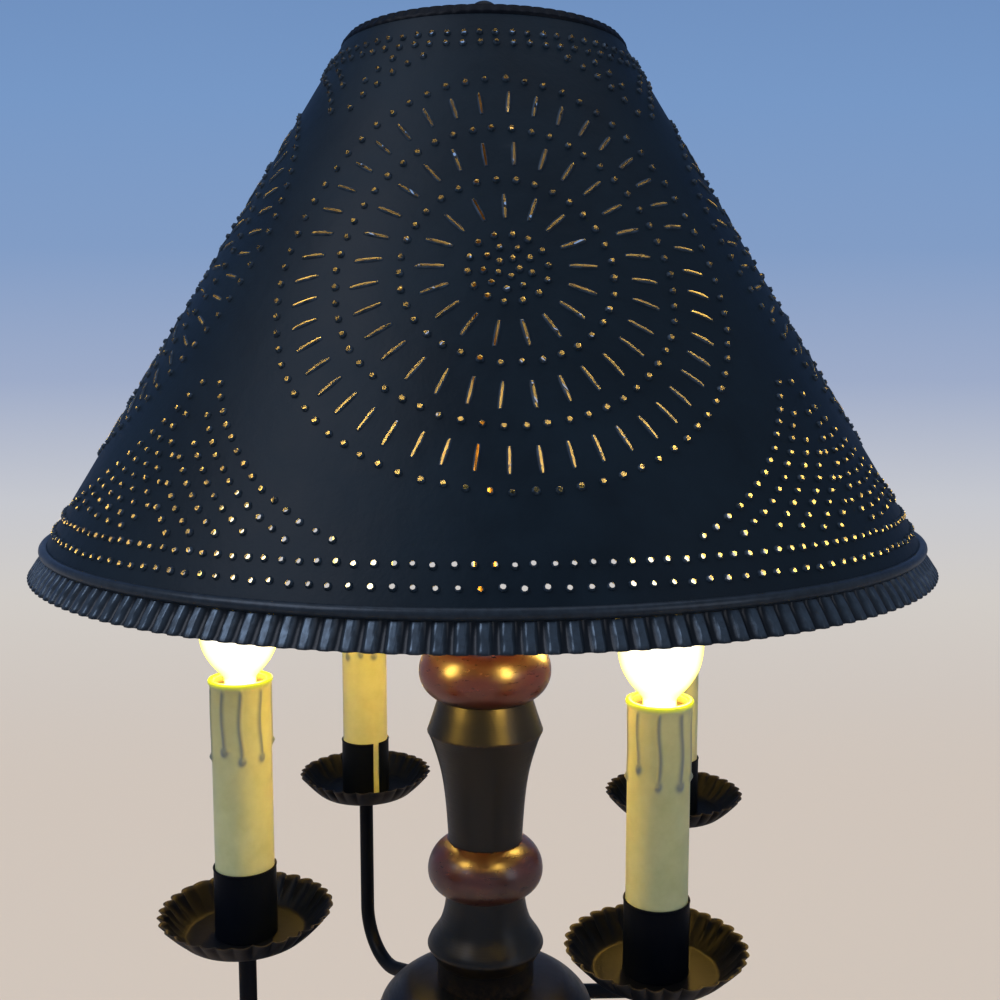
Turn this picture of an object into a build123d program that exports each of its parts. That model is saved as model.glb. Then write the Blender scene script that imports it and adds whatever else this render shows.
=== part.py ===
# Four-candle table lamp: turned wooden column, curved tube arms, punched tin cone shade.
# Millimetres, +Z up, origin on the table under the middle of the foot.
from build123d import *
from math import cos, pi, radians, sin, sqrt, tan
import os

os.makedirs("parts", exist_ok=True)

# Fits and clearances
running_gap = 0.05
thread_gap = 0.05
sleeve_gap = 0.12
wood_gap = 0.1
seat_gap = 0.3

# Tin shade
shade_rim_radius = 190.5
shade_top_radius = 58.0
shade_height = 218.5
tin = 0.6
flange_height = 8.6
flange_flare = 5.6
flange_bead_radius = 2.1
flange_rib_count = 176
flange_rib_depth = 1.6
crown_height = 5.0
crown_rib_count = 72
crown_rib_depth = 0.8

# Shade spider and what carries it
spider_drop = 12.7
spider_hub_radius = 15.0
spider_thickness = 1.6
spider_arm_width = 9.0
spider_arm_count = 3
spider_tab_height = 9.0
spider_lap = 2.0
seat_radius = 12.0
seat_thickness = 2.5
finial_bore_depth = 11.0
finial_height = 29.0
finial_base_radius = 9.5
finial_skirt_height = 6.4
finial_waist_height = 12.2
finial_waist_wall = 1.6
finial_neck_height = 2.6
finial_neck_radius = 5.4
finial_ball_radius = 7.2

# Riser pipe and its clamping nuts
pipe_radius = 5.15
pipe_bore = 3.4
pipe_tail = 1.6
pipe_slot_width = 4.0
pipe_slot_height = 18.0
riser_above_cap = 232.8
pipe_nut_flats = 16.0
pipe_nut_height = 5.0
pipe_washer_radius = 14.0
pipe_washer_thickness = 1.6
cap_washer_inset = 1.0

# Felt pad, bottom plate and foot
pad_thickness = 2.0
pad_inset = 3.0
plate_thickness = 3.0
plate_radius = 78.0
foot_radius = 92.0
foot_height = 50.0
foot_wall = 28.0
foot_ceiling = 27.0
foot_well_radius = 20.0
foot_well_depth = 8.0
plinth_height = 20.0
plinth_round = 6.5
plinth_ledge = 3.0
foot_top_radius = 37.0
foot_chamfer = 1.6
plate_screw_count = 4
plate_screw_radius = 1.6
plate_screw_length = 12.0
plate_screw_head_radius = 3.1
plate_screw_head_height = 1.8

# Turnings, stacked from the foot upwards
foot_bead_height = 14.0
foot_bead_rise = 7.0
foot_bead_radius = 33.0
foot_bead_end = 28.0
pedestal_height = 20.0
pedestal_end_radius = 25.0
pedestal_waist_radius = 19.5
ball_radius = 50.3
ball_height = 49.5
ball_flank_radius = 48.2
ball_flank_height = 14.0
ball_shoulder_radius = 40.5
ball_shoulder_height = 20.9
ball_land_radius = 24.0
ball_land_slope = 5.0
ball_cavity_radius = 19.0
ball_cavity_height = 44.0
skirt_height = 42.5
skirt_neck_radius = 22.4
skirt_neck_height = 10.7
skirt_lip_radius = 23.2
skirt_edge_radius = 26.9
skirt_edge_height = 17.3
skirt_hollow_radius = 21.9
skirt_hollow_height = 25.9
skirt_rise_radius = 19.0
skirt_rise_height = 34.3
skirt_top_radius = 18.2
lower_bead_height = 24.4
lower_bead_rise = 10.5
lower_bead_radius = 26.5
lower_bead_foot = 17.0
lower_bead_top = 16.8
vase_height = 66.9
vase_foot_radius = 17.0
vase_low_radius = 18.2
vase_low_height = 19.2
vase_mid_radius = 21.3
vase_mid_height = 37.4
vase_edge_radius = 26.4
vase_edge_height = 51.9
vase_top_radius = 21.4
upper_bead_height = 27.2
upper_bead_rise = 12.7
upper_bead_radius = 30.0
upper_bead_foot = 21.0
upper_bead_top = 20.0
cap_height = 12.5
cap_radius = 18.5
cap_side_height = 5.6
cap_land_radius = 12.5

# Arms
arm_count = 4
arm_circle_radius = 116.6
arm_tube_radius = 3.6
arm_bore = 2.0
arm_bend_radius = 24.0
arm_slope = 17.0
arm_dip = 10.75
arm_rise = 89.9
arm_end_stand = 12.0
arm_inner_radius = 16.0
arm_nut_seat = 21.5
arm_nut_height = 3.5
arm_nut_flats = 10.0
arm_nut_room = 7.0

# Drip pans and candle cups
pan_sheet = 0.6
pan_floor_radius = 24.0
pan_rim_radius = 34.7
pan_depth = 10.2
pan_flute_count = 30
pan_flute_depth = 1.5
cup_sheet = 0.6
cup_height = 28.5
cup_seam = 3.5

# Candle covers, sockets and bulbs
cover_radius = 11.75
cover_wall = 1.6
cover_length = 105.0
cover_lip = 0.9
cover_lip_height = 2.2
socket_drop = 3.0
socket_length = 32.0
socket_wall_gap = 0.25
stem_radius = 4.9
stem_foot_radius = 9.0
stem_foot_height = 2.0
shell_wall = 0.4
shell_depth = 18.5
contact_radius = 2.0
contact_height = 1.5
base_radius = 6.0
base_gap = 0.08
base_thread_depth = 0.5
base_thread_pitch = 2.54
base_length = 17.5
base_plain_length = 4.0
base_tip_radius = 2.4
base_tip_height = 1.5
bulb_length = 78.0
bulb_neck_radius = 6.2
bulb_neck_height = 1.5
bulb_throat_radius = 8.2
bulb_throat_height = 5.2
bulb_shoulder_radius = 13.3
bulb_shoulder_height = 12.0
bulb_radius = 16.0
bulb_belly_height = 29.0
bulb_taper_radius = 10.6
bulb_taper_height = 58.0
bulb_wall = 0.8

# Wiring
wire_radius = 1.1
wire_circle = 1.75
wire_kink_inset = 4.4
wire_drop = 18.0
wire_tail = 1.5
wire_kink_bend = 3.0
wire_feed_bend = 8.0
splice_radius = 3.6
splice_height = 8.0
lead_drop = 3.9
lead_top_bend = 3.3
lead_bend = 6.6

# Rotary switch in the foot
switch_height = 15.0
switch_radius = 9.5
switch_length = 16.0
switch_pocket = 12.0
bushing_radius = 4.75
bushing_reach = 3.6
switch_nut_radius = 7.0
switch_nut_height = 3.0
spotface_radius = 8.4
spotface_skin = 0.2
shaft_radius = 3.0
shaft_depth = 9.0
knob_radius = 9.0
knob_length = 13.0
knob_round = 1.6
knob_grip_count = 18
knob_grip_radius = 0.9
knob_grip_depth = 0.5
knob_bore_depth = 10.0

# Cord inlet
inlet_height = 13.0
inlet_bore = 3.3
inlet_wall = 1.6
inlet_flange_radius = 7.0
inlet_flange_height = 2.0
inlet_tail = 2.0

# Heights that follow from the stack
foot_z = pad_thickness
foot_top = foot_z + foot_height
cavity_floor = foot_z + plate_thickness
cavity_top = foot_top - foot_ceiling
well_top = cavity_top + foot_well_depth
foot_bead_z = foot_top
pedestal_z = foot_bead_z + foot_bead_height
ball_z = pedestal_z + pedestal_height
ball_centre = ball_z + ball_height / 2
skirt_z = ball_z + ball_height
lower_bead_z = skirt_z + skirt_height
vase_z = lower_bead_z + lower_bead_height
upper_bead_z = vase_z + vase_height
cap_z = upper_bead_z + upper_bead_height
cap_top = cap_z + cap_height
seat_z = cap_top + riser_above_cap
rim_z = seat_z + spider_drop - shade_height
shade_top = rim_z + shade_height
pipe_bottom = well_top - pipe_washer_thickness - pipe_nut_height - pipe_tail
pipe_top = seat_z + spider_thickness + finial_bore_depth - seat_gap
cavity_radius = foot_radius - foot_wall
pipe_hole = pipe_radius + wood_gap

# Arm centreline in its own upright plane
arm_low = ball_centre - arm_dip
bend_centre_r = arm_circle_radius - arm_bend_radius
bend_centre_z = arm_low + arm_bend_radius
bend_start_r = bend_centre_r - arm_bend_radius * sin(radians(arm_slope))
bend_start_z = bend_centre_z - arm_bend_radius * cos(radians(arm_slope))
pan_under = arm_low + arm_rise
pan_floor = pan_under + pan_sheet
cup_floor = pan_floor + cup_sheet
arm_top = cup_floor + arm_end_stand
cup_bore = cover_radius + sleeve_gap
cover_top = cup_floor + cover_length
socket_top = cover_top - socket_drop
socket_bottom = socket_top - socket_length
shell_bottom = socket_top - shell_depth
base_bottom = shell_bottom + contact_height
glass_bottom = base_bottom + base_length
arm_angles = [45 + 360 * k / arm_count for k in range(arm_count)]


def arm_height(r):
    """Height of the arm's sloping centreline at radius r."""
    return bend_start_z + (bend_start_r - r) * tan(radians(arm_slope))


def on_candle(shape, angle):
    """Move a shape modelled on the axis to the candle at this angle."""
    return Rot(0, 0, angle) * (Pos(arm_circle_radius, 0, 0) * shape)


def spin(edges):
    """Revolve a closed outline in the XZ plane about the lamp's axis."""
    face = make_face(edges)
    return revolve(Plane.XZ * face, Axis.Z)


def closed(points, *extra):
    """Edges of a polyline plus extra edges."""
    return [*Polyline(*points).edges(), *extra]


def tube(outer, inner, bottom, top):
    """Upright tube between two heights."""
    height = top - bottom
    wall = Cylinder(outer, height, align=(Align.CENTER, Align.CENTER, Align.MIN))
    hole = Cylinder(inner, height, align=(Align.CENTER, Align.CENTER, Align.MIN))
    return Pos(0, 0, bottom) * (wall - hole)


def rod(radius, bottom, top):
    """Upright cylinder between two heights."""
    return Pos(0, 0, bottom) * Cylinder(radius, top - bottom, align=(Align.CENTER, Align.CENTER, Align.MIN))


def hex_nut(flats, hole, bottom, height):
    """Hexagon nut with a round hole."""
    body = extrude(RegularPolygon(flats / 2, 6, major_radius=False), height)
    return Pos(0, 0, bottom) * (body - rod(hole, 0, height))


def bead(foot, belly, top, bottom, rise, height):
    """Turned bead: two arcs that meet upright at the belly, bored for the pipe."""
    lower = TangentArc((belly, bottom + rise), (foot, bottom), tangent=(0, -1))
    upper = TangentArc((belly, bottom + rise), (top, bottom + height), tangent=(0, 1))
    ends = closed([(top, bottom + height), (pipe_hole, bottom + height),
                   (pipe_hole, bottom), (foot, bottom)])
    return spin([*ends, lower, upper])


# Foot, pad and bottom plate

def base_pad():
    return rod(foot_radius - pad_inset, 0, pad_thickness)


def screw_places():
    """Middle of the wooden ring between the cavity and the plate's rebate edge."""
    reach = (cavity_radius + plate_radius) / 2
    return PolarLocations(reach, plate_screw_count, start_angle=45)


def bottom_plate():
    plate = rod(plate_radius - seat_gap, foot_z, cavity_floor)
    for place in screw_places():
        plate -= Pos(0, 0, foot_z) * (place * plate_screw(sleeve_gap))
    return plate


def plate_screw(grow=0.0):
    """Countersunk wood screw from its flat head upwards."""
    shank = plate_screw_radius + grow
    head = Cone(plate_screw_head_radius + grow, shank, plate_screw_head_height,
                align=(Align.CENTER, Align.CENTER, Align.MIN))
    return head + rod(shank, 0, plate_screw_length + grow)


def plate_screws():
    return Compound([Pos(0, 0, foot_z) * (place * plate_screw()) for place in screw_places()])


def foot():
    plinth_top = foot_z + plinth_height
    shoulder = foot_radius - plinth_round
    ledge = shoulder - plinth_ledge
    ledge_z = plinth_top + plinth_round
    outline = closed([(shoulder, ledge_z), (ledge, ledge_z)],
                     *closed([(foot_top_radius, foot_top), (pipe_hole, foot_top), (pipe_hole, foot_z),
                              (foot_radius - foot_chamfer, foot_z), (foot_radius, foot_z + foot_chamfer),
                              (foot_radius, plinth_top)]))
    round_over = TangentArc((foot_radius, plinth_top), (shoulder, ledge_z), tangent=(0, 1))
    cove = TangentArc((ledge, ledge_z), (foot_top_radius, foot_top), tangent=(-1, 0))
    body = spin([*outline, round_over, cove])
    body -= rod(cavity_radius, foot_z, cavity_top)
    body -= rod(foot_well_radius, foot_z, well_top)
    body -= rod(plate_radius, foot_z, cavity_floor)
    for place in screw_places():
        body -= Pos(0, 0, foot_z) * (place * plate_screw(thread_gap))
    body -= switch_axis(rod(bushing_radius + wood_gap, 0, foot_radius + 1))
    body -= switch_axis(rod(switch_radius + wood_gap, 0, cavity_radius + switch_pocket))
    body -= switch_axis(rod(spotface_radius, spotface_depth(), foot_radius + 1))
    body -= inlet_axis(rod(inlet_bore + inlet_wall + wood_gap, 0, foot_radius + 1))
    body -= inlet_axis(rod(inlet_flange_radius + seat_gap, inlet_seat(), foot_radius + 1))
    return body


# Turnings

def foot_bead():
    return bead(foot_bead_end, foot_bead_radius, foot_bead_end,
                foot_bead_z, foot_bead_rise, foot_bead_height)


def pedestal():
    top = pedestal_z + pedestal_height
    waist = pedestal_z + pedestal_height / 2
    side = ThreePointArc((pedestal_end_radius, pedestal_z), (pedestal_waist_radius, waist),
                         (pedestal_end_radius, top))
    return spin([*closed([(pedestal_end_radius, top), (pipe_hole, top), (pipe_hole, pedestal_z),
                          (pedestal_end_radius, pedestal_z)]), side])


def ball_side(direction):
    """Upper or lower half of the flattened ball's side, from its belly to its level land."""
    flank = (ball_flank_radius, ball_centre + direction * ball_flank_height)
    shoulder = (ball_shoulder_radius, ball_centre + direction * ball_shoulder_height)
    land = (ball_land_radius, ball_centre + direction * ball_height / 2)
    return Spline((ball_radius, ball_centre), flank, shoulder, land,
                  tangents=((0, direction), (-1, direction * tan(radians(ball_land_slope)))))


def ball_body():
    ball = spin([*closed([(ball_land_radius, skirt_z), (pipe_hole, skirt_z), (pipe_hole, ball_z),
                          (ball_land_radius, ball_z)]), ball_side(-1), ball_side(1)])
    ball -= rod(ball_cavity_radius, ball_z, ball_z + ball_cavity_height)
    for angle in arm_angles:
        ball -= Rot(0, 0, angle) * arm_slope_rod(arm_tube_radius + wood_gap)
        ball -= Rot(0, 0, angle) * arm_ring(arm_nut_room, 0, 0, arm_nut_seat)
    return ball


def skirt_turning():
    top = skirt_z + skirt_height
    edge = skirt_z + skirt_edge_height
    neck = skirt_z + skirt_neck_height
    hollow = (skirt_hollow_radius, skirt_z + skirt_hollow_height)
    rise = (skirt_rise_radius, skirt_z + skirt_rise_height)
    flare = Spline((skirt_edge_radius, edge), hollow, rise, (skirt_top_radius, top),
                   tangents=((-0.3, 1), (0, 1)))
    return spin([*closed([(skirt_top_radius, top), (pipe_hole, top), (pipe_hole, skirt_z),
                          (skirt_neck_radius, skirt_z), (skirt_neck_radius, neck),
                          (skirt_lip_radius, neck), (skirt_edge_radius, edge)]), flare])


def lower_bead():
    return bead(lower_bead_foot, lower_bead_radius, lower_bead_top, lower_bead_z,
                lower_bead_rise, lower_bead_height)


def vase_turning():
    top = vase_z + vase_height
    edge = vase_z + vase_edge_height
    side = Spline((vase_foot_radius, vase_z), (vase_low_radius, vase_z + vase_low_height),
                  (vase_mid_radius, vase_z + vase_mid_height), (vase_edge_radius, edge),
                  tangents=((0, 1), (0.42, 1)))
    return spin([*closed([(vase_edge_radius, edge), (vase_top_radius, top), (pipe_hole, top),
                          (pipe_hole, vase_z), (vase_foot_radius, vase_z)]), side])


def upper_bead():
    return bead(upper_bead_foot, upper_bead_radius, upper_bead_top, upper_bead_z,
                upper_bead_rise, upper_bead_height)


def column_cap():
    shoulder = cap_z + cap_side_height
    dome = TangentArc((cap_radius, shoulder), (cap_land_radius, cap_top), tangent=(0, 1))
    return spin([*closed([(cap_land_radius, cap_top), (pipe_hole, cap_top), (pipe_hole, cap_z),
                          (cap_radius, cap_z), (cap_radius, shoulder)]), dome])


# Riser pipe and its hardware

def riser_pipe():
    pipe = tube(pipe_radius, pipe_bore, pipe_bottom, pipe_top)
    slot_top = wire_kink_z() - 2 * wire_radius
    slot = Pos(0, 0, slot_top) * Box(2 * pipe_radius, pipe_slot_width, pipe_slot_height,
                                     align=(Align.MIN, Align.CENTER, Align.MAX))
    for angle in arm_angles:
        pipe -= Rot(0, 0, angle) * slot
    return pipe


def pipe_washers():
    hole = pipe_radius + thread_gap
    low = tube(pipe_washer_radius, hole, well_top - pipe_washer_thickness, well_top)
    high = tube(cap_land_radius - cap_washer_inset, hole, cap_top, cap_top + pipe_washer_thickness)
    return Compound([low, high])


def pipe_nuts():
    hole = pipe_radius + thread_gap
    heights = (well_top - pipe_washer_thickness - pipe_nut_height, cap_top + pipe_washer_thickness,
               seat_z - seat_thickness - pipe_nut_height)
    return Compound([hex_nut(pipe_nut_flats, hole, z, pipe_nut_height) for z in heights])


# Arms, pans and cups

def arm_slope_rod(radius):
    """Straight rod along the arm's sloping part, from inside the ball past its skin."""
    start = (0, 0, arm_height(0))
    end = (bend_start_r, 0, bend_start_z)
    path = Line(start, end)
    return sweep(Plane(origin=start, z_dir=path % 0) * Circle(radius), path)


def arm_ring(outer, inner, first_r, last_r):
    """Ring or plug round the arm's sloping part between two radii from the lamp's axis."""
    down = radians(arm_slope)
    plane = Plane(origin=(first_r, 0, arm_height(first_r)), z_dir=(cos(down), 0, -sin(down)))
    face = Circle(outer) - Circle(inner) if inner else Circle(outer)
    return extrude(plane * face, (last_r - first_r) / cos(down))


def arm_nuts():
    """Hexagon nuts that clamp the arms from inside the ball."""
    down = radians(arm_slope)
    start = arm_nut_seat - arm_nut_height * cos(down)
    plane = Plane(origin=(start, 0, arm_height(start)), z_dir=(cos(down), 0, -sin(down)))
    face = RegularPolygon(arm_nut_flats / 2, 6, major_radius=False) - Circle(arm_tube_radius + thread_gap)
    nut = extrude(plane * face, arm_nut_height)
    return Compound([Rot(0, 0, angle) * nut for angle in arm_angles])


def arm_path(first_r, last_z):
    """Arm centreline: sloping run, quarter bend and a bit more, upright run."""
    slope = Line((first_r, 0, arm_height(first_r)), (bend_start_r, 0, bend_start_z))
    bend = TangentArc((bend_start_r, 0, bend_start_z), (arm_circle_radius, 0, bend_centre_z),
                      tangent=(cos(radians(arm_slope)), 0, -sin(radians(arm_slope))))
    rise = Line((arm_circle_radius, 0, bend_centre_z), (arm_circle_radius, 0, last_z))
    return slope, bend, rise


def swept(radius, edges):
    """Round bar along edges that run on smoothly."""
    wire = Wire(edges)
    start = wire @ 0
    return sweep(Plane(origin=start, z_dir=wire % 0) * Circle(radius), wire)


def arm_tube(angle):
    outer = swept(arm_tube_radius, arm_path(arm_inner_radius, arm_top))
    inner = swept(arm_bore, arm_path(arm_inner_radius, arm_top))
    return Rot(0, 0, angle) * (outer - inner)


def fluted(radius, depth_share, count, z):
    """Closed star polygon: a sheet edge pressed into flutes a set share of the radius deep."""
    points = []
    for k in range(2 * count):
        reach = radius * (1 - depth_share * (k % 2))
        turn = pi * k / count
        points.append((reach * cos(turn), reach * sin(turn), z))
    return make_face(Polyline(*points, close=True).edges())


def fluted_solid(low, high, depth_share, count):
    """Solid between two fluted outlines; low and high are (radius, height)."""
    return loft([fluted(low[0], depth_share, count, low[1]), fluted(high[0], depth_share, count, high[1])],
                ruled=True)


def fluted_sheet(low, high, depth_share, count, sheet):
    """Sheet ring between two fluted edges."""
    outer = fluted_solid(low, high, depth_share, count)
    return outer - fluted_solid((low[0] - sheet, low[1]), (high[0] - sheet, high[1]), depth_share, count)


def drip_pan(angle):
    low = (pan_floor_radius, pan_under)
    high = (pan_rim_radius, pan_under + pan_depth)
    share = pan_flute_depth / pan_rim_radius
    wall = fluted_sheet(low, high, share, pan_flute_count, pan_sheet)
    slope = (pan_rim_radius - pan_floor_radius) / pan_depth
    floor = fluted_solid((pan_floor_radius - pan_sheet / 2, pan_under),
                         (pan_floor_radius + (slope - 0.5) * pan_sheet, pan_floor), share, pan_flute_count)
    hole = rod(arm_tube_radius + thread_gap, pan_under, pan_floor)
    return on_candle((wall + floor) - hole, angle)


def candle_cup(angle):
    outer = cup_bore + cup_sheet
    wall = tube(outer, cup_bore, pan_floor, pan_floor + cup_height)
    seam = Pos(-outer, 0, cup_floor) * Box(2 * outer, cup_seam, cup_height,
                                           align=(Align.CENTER, Align.CENTER, Align.MIN))
    floor = tube(outer, arm_tube_radius + thread_gap, pan_floor, cup_floor)
    return on_candle((wall - seam) + floor, angle)


# Candle covers, sockets and bulbs

def candle_cover(angle):
    bore = cover_radius - cover_wall
    body = tube(cover_radius, bore, cup_floor, cover_top)
    lip_z = cover_top - cover_lip_height / 2
    lip = Pos(0, 0, lip_z) * Torus(cover_radius - cover_wall / 2, cover_wall / 2 + cover_lip)
    lip -= rod(bore, lip_z - cover_lip_height, cover_top + cover_lip_height)
    lip &= rod(2 * cover_radius, lip_z - cover_lip_height, cover_top)
    return on_candle(body + lip, angle)


def socket_stems():
    """Steel stems that stand on the cup floors over the arm ends and carry the sockets."""
    bore = arm_tube_radius + thread_gap
    post = tube(stem_radius, bore, cup_floor, socket_bottom)
    flange = tube(stem_foot_radius, bore, cup_floor, cup_floor + stem_foot_height)
    return Compound([on_candle(post + flange, angle) for angle in arm_angles])


def socket_bodies():
    outer = cover_radius - cover_wall - socket_wall_gap
    body = tube(outer, base_radius + base_gap + shell_wall + thread_gap, shell_bottom, socket_top)
    floor = tube(outer, wire_radius + running_gap, socket_bottom, shell_bottom)
    return Compound([on_candle(body + floor, angle) for angle in arm_angles])


def screw_shells():
    bore = base_radius + base_gap
    shell = tube(bore + shell_wall, bore, shell_bottom, socket_top)
    return Compound([on_candle(shell, angle) for angle in arm_angles])


def socket_contacts():
    contact = rod(contact_radius, shell_bottom, shell_bottom + contact_height)
    return Compound([on_candle(contact, angle) for angle in arm_angles])


def bulb_base(angle):
    """Screw cap: rolled thread rings, a plain skirt and the tip contact."""
    turns = int((base_length - base_plain_length) / base_thread_pitch)
    root = base_radius - base_thread_depth
    z = base_bottom + base_tip_height
    points = [(0, base_bottom), (base_tip_radius, base_bottom), (root, z)]
    crests = []
    for _ in range(turns):
        middle = (base_radius, z + base_thread_pitch / 2)
        crests.append(ThreePointArc((root, z), middle, (root, z + base_thread_pitch)))
        z += base_thread_pitch
    rest = Polyline((root, z), (root, glass_bottom), (0, glass_bottom), (0, base_bottom))
    return on_candle(spin([*Polyline(*points).edges(), *crests, *rest.edges()]), angle)


def bulb_glass(angle):
    """Frosted torpedo bulb: neck, wide belly and a blunt tip, hollow inside."""
    def outline(inset):
        start = glass_bottom + inset
        top = glass_bottom + bulb_length - inset
        neck = (bulb_neck_radius - inset, start)
        collar = (bulb_neck_radius - inset, glass_bottom + bulb_neck_height)
        throat = (bulb_throat_radius - inset, glass_bottom + bulb_throat_height)
        shoulder = (bulb_shoulder_radius - inset, glass_bottom + bulb_shoulder_height)
        belly = (bulb_radius - inset, glass_bottom + bulb_belly_height)
        taper = (bulb_taper_radius - inset, glass_bottom + bulb_taper_height)
        side = Spline(collar, throat, shoulder, belly, tangents=((0, 1), (0, 1)))
        tip = Spline(belly, taper, (0, top), tangents=((0, 1), (-1, 0)))
        axis = Polyline((0, top), (0, start), neck, collar)
        return spin([side, tip, *axis.edges()])
    return on_candle(outline(0.0) - outline(bulb_wall), angle)


# Wiring

def wire_kink_r():
    return arm_inner_radius - wire_kink_inset


def wire_kink_z():
    return arm_height(wire_kink_r())


def arm_wires():
    """Lamp wires from each socket down its arm, into the pipe and down to the splice."""
    kink = (wire_kink_r(), 0, wire_kink_z())
    turn = (wire_circle, 0, wire_kink_z() - wire_drop)
    end = (wire_circle, 0, pipe_bottom - wire_tail)
    slope, bend, rise = arm_path(kink[0], socket_bottom + (shell_bottom - socket_bottom) / 2)
    feed = FilletPolyline((bend_start_r, 0, bend_start_z), kink, turn, end,
                          radius=[wire_kink_bend, wire_feed_bend])
    upper = swept(wire_radius, [bend, rise])
    lower = swept(wire_radius, feed.edges())
    return Compound([Rot(0, 0, angle) * (upper + lower) for angle in arm_angles])


def wire_splice():
    """Crimped sleeve that joins the arm wires to the lead under the pipe."""
    mouth = pipe_bottom - wire_tail
    return rod(splice_radius, mouth - splice_height, mouth)


def switch_lead():
    """Wire from the bottom of the splice to the back of the switch."""
    top = pipe_bottom - wire_tail - splice_height
    back = switch_back()
    path = FilletPolyline((0, 0, top), (0, 0, top - lead_drop), (0, -back / 2, top - lead_drop),
                          (0, lead_bend - back, switch_height), (0, -back, switch_height),
                          radius=[lead_top_bend, lead_bend, lead_bend])
    return swept(wire_radius, path.edges())


# Rotary switch

def switch_axis(shape):
    """Turn an upright shape on the axis so that it points out of the front of the foot."""
    return Pos(0, 0, switch_height) * (Rot(90, 0, 0) * shape)


def spotface_depth():
    """Flat for the nut, just inside the round plinth."""
    return sqrt(foot_radius ** 2 - spotface_radius ** 2) - spotface_skin


def switch_back():
    return cavity_radius + switch_pocket - switch_length


def switch_body():
    front = cavity_radius + switch_pocket
    body = rod(switch_radius, switch_back(), front)
    body += rod(bushing_radius, front, spotface_depth() + bushing_reach)
    body -= rod(shaft_radius + running_gap, front - shaft_depth, foot_radius + bushing_reach)
    return switch_axis(body)


def switch_nut():
    """Ring nut outside the foot."""
    depth = spotface_depth()
    ring = tube(switch_nut_radius, bushing_radius + thread_gap, depth, depth + switch_nut_height)
    return switch_axis(ring)


def switch_shaft():
    front = cavity_radius + switch_pocket
    end = spotface_depth() + bushing_reach + seat_gap + knob_bore_depth
    return switch_axis(rod(shaft_radius, front - shaft_depth, end))


def switch_knob():
    base = spotface_depth() + bushing_reach + seat_gap
    body = rod(knob_radius, base, base + knob_length)
    body = fillet(body.edges().group_by(Axis.Z)[-1], knob_round)
    grip = rod(knob_grip_radius, base, base + knob_length)
    for k in range(knob_grip_count):
        turn = Rot(0, 0, 360 * k / knob_grip_count)
        body -= turn * (Pos(knob_radius + knob_grip_radius - knob_grip_depth, 0, 0) * grip)
    body -= rod(shaft_radius, base, base + knob_bore_depth)
    return switch_axis(body)


# Cord inlet

def inlet_axis(shape):
    """Turn an upright shape on the axis so that it points out of the back of the foot."""
    return Pos(0, 0, inlet_height) * (Rot(-90, 0, 0) * shape)


def inlet_seat():
    return sqrt(foot_radius ** 2 - (inlet_flange_radius + seat_gap) ** 2) - spotface_skin


def cord_bushing():
    outer = inlet_bore + inlet_wall
    body = rod(outer, cavity_radius - inlet_tail, inlet_seat())
    body += rod(inlet_flange_radius, inlet_seat(), inlet_seat() + inlet_flange_height)
    body -= rod(inlet_bore, 0, foot_radius + 10)
    return inlet_axis(body)


# Shade

def cone_radius(z):
    """Outer radius of the shade's cone at a height."""
    slope = (shade_rim_radius - shade_top_radius) / shade_height
    return shade_top_radius + (shade_top - z) * slope


def cone_plug(low, high, inset):
    """Solid cone inside the shade between two heights."""
    foot = (cone_radius(low) - inset, low)
    head = (cone_radius(high) - inset, high)
    return spin(closed([(0, low), foot, head, (0, high), (0, low)]))


def shade_cone():
    low = rim_z + flange_height + flange_bead_radius
    high = shade_top - crown_height
    slope = (shade_rim_radius - shade_top_radius) / shade_height
    wall = tin * sqrt(1 + slope ** 2)
    return cone_plug(low, high, 0) - cone_plug(low, high, wall) - shade_bead()


def shade_bead():
    """Rolled bead between the cone and the ribbed flange."""
    z = rim_z + flange_height + flange_bead_radius
    return Pos(0, 0, z) * Torus(cone_radius(z), flange_bead_radius)


def shade_flange():
    """Ribbed skirt under the bead."""
    top = rim_z + flange_height
    return fluted_sheet((shade_rim_radius, rim_z), (shade_rim_radius - flange_flare, top),
                        flange_rib_depth / shade_rim_radius, flange_rib_count, tin)


def shade_crown():
    """Ribbed edge round the top opening."""
    low = shade_top - crown_height
    return fluted_sheet((cone_radius(low), low), (shade_top_radius, shade_top),
                        crown_rib_depth / shade_top_radius, crown_rib_count, tin)


def shade_spider():
    """Hub disc and strips that hold the shade on the pipe, each with a tab against the tin."""
    top = seat_z + spider_thickness
    hub = tube(spider_hub_radius, pipe_radius + running_gap, seat_z, top)
    low = seat_z - spider_tab_height
    outwards = (Align.MIN, Align.CENTER, Align.MIN)
    strip = Box(shade_rim_radius, spider_arm_width, spider_thickness, align=outwards)
    strip = Pos(spider_hub_radius - spider_lap, 0, seat_z) * strip
    tab = Pos(0, 0, low) * Box(shade_rim_radius, spider_arm_width, top - low, align=outwards)
    slope = (shade_rim_radius - shade_top_radius) / shade_height
    skin = (tin + sleeve_gap) * sqrt(1 + slope ** 2)
    inside = cone_plug(low, top, skin)
    core = cone_plug(low, top, skin + spider_thickness)
    arm = (strip & inside) + ((tab & inside) - core)
    spider = hub
    for k in range(spider_arm_count):
        spider += Rot(0, 0, 90 + 360 * k / spider_arm_count) * arm
    return spider


def shade_seat():
    """Flat brass check ring that the spider's hub lies on."""
    return tube(seat_radius, pipe_radius + thread_gap, seat_z - seat_thickness, seat_z)


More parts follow.
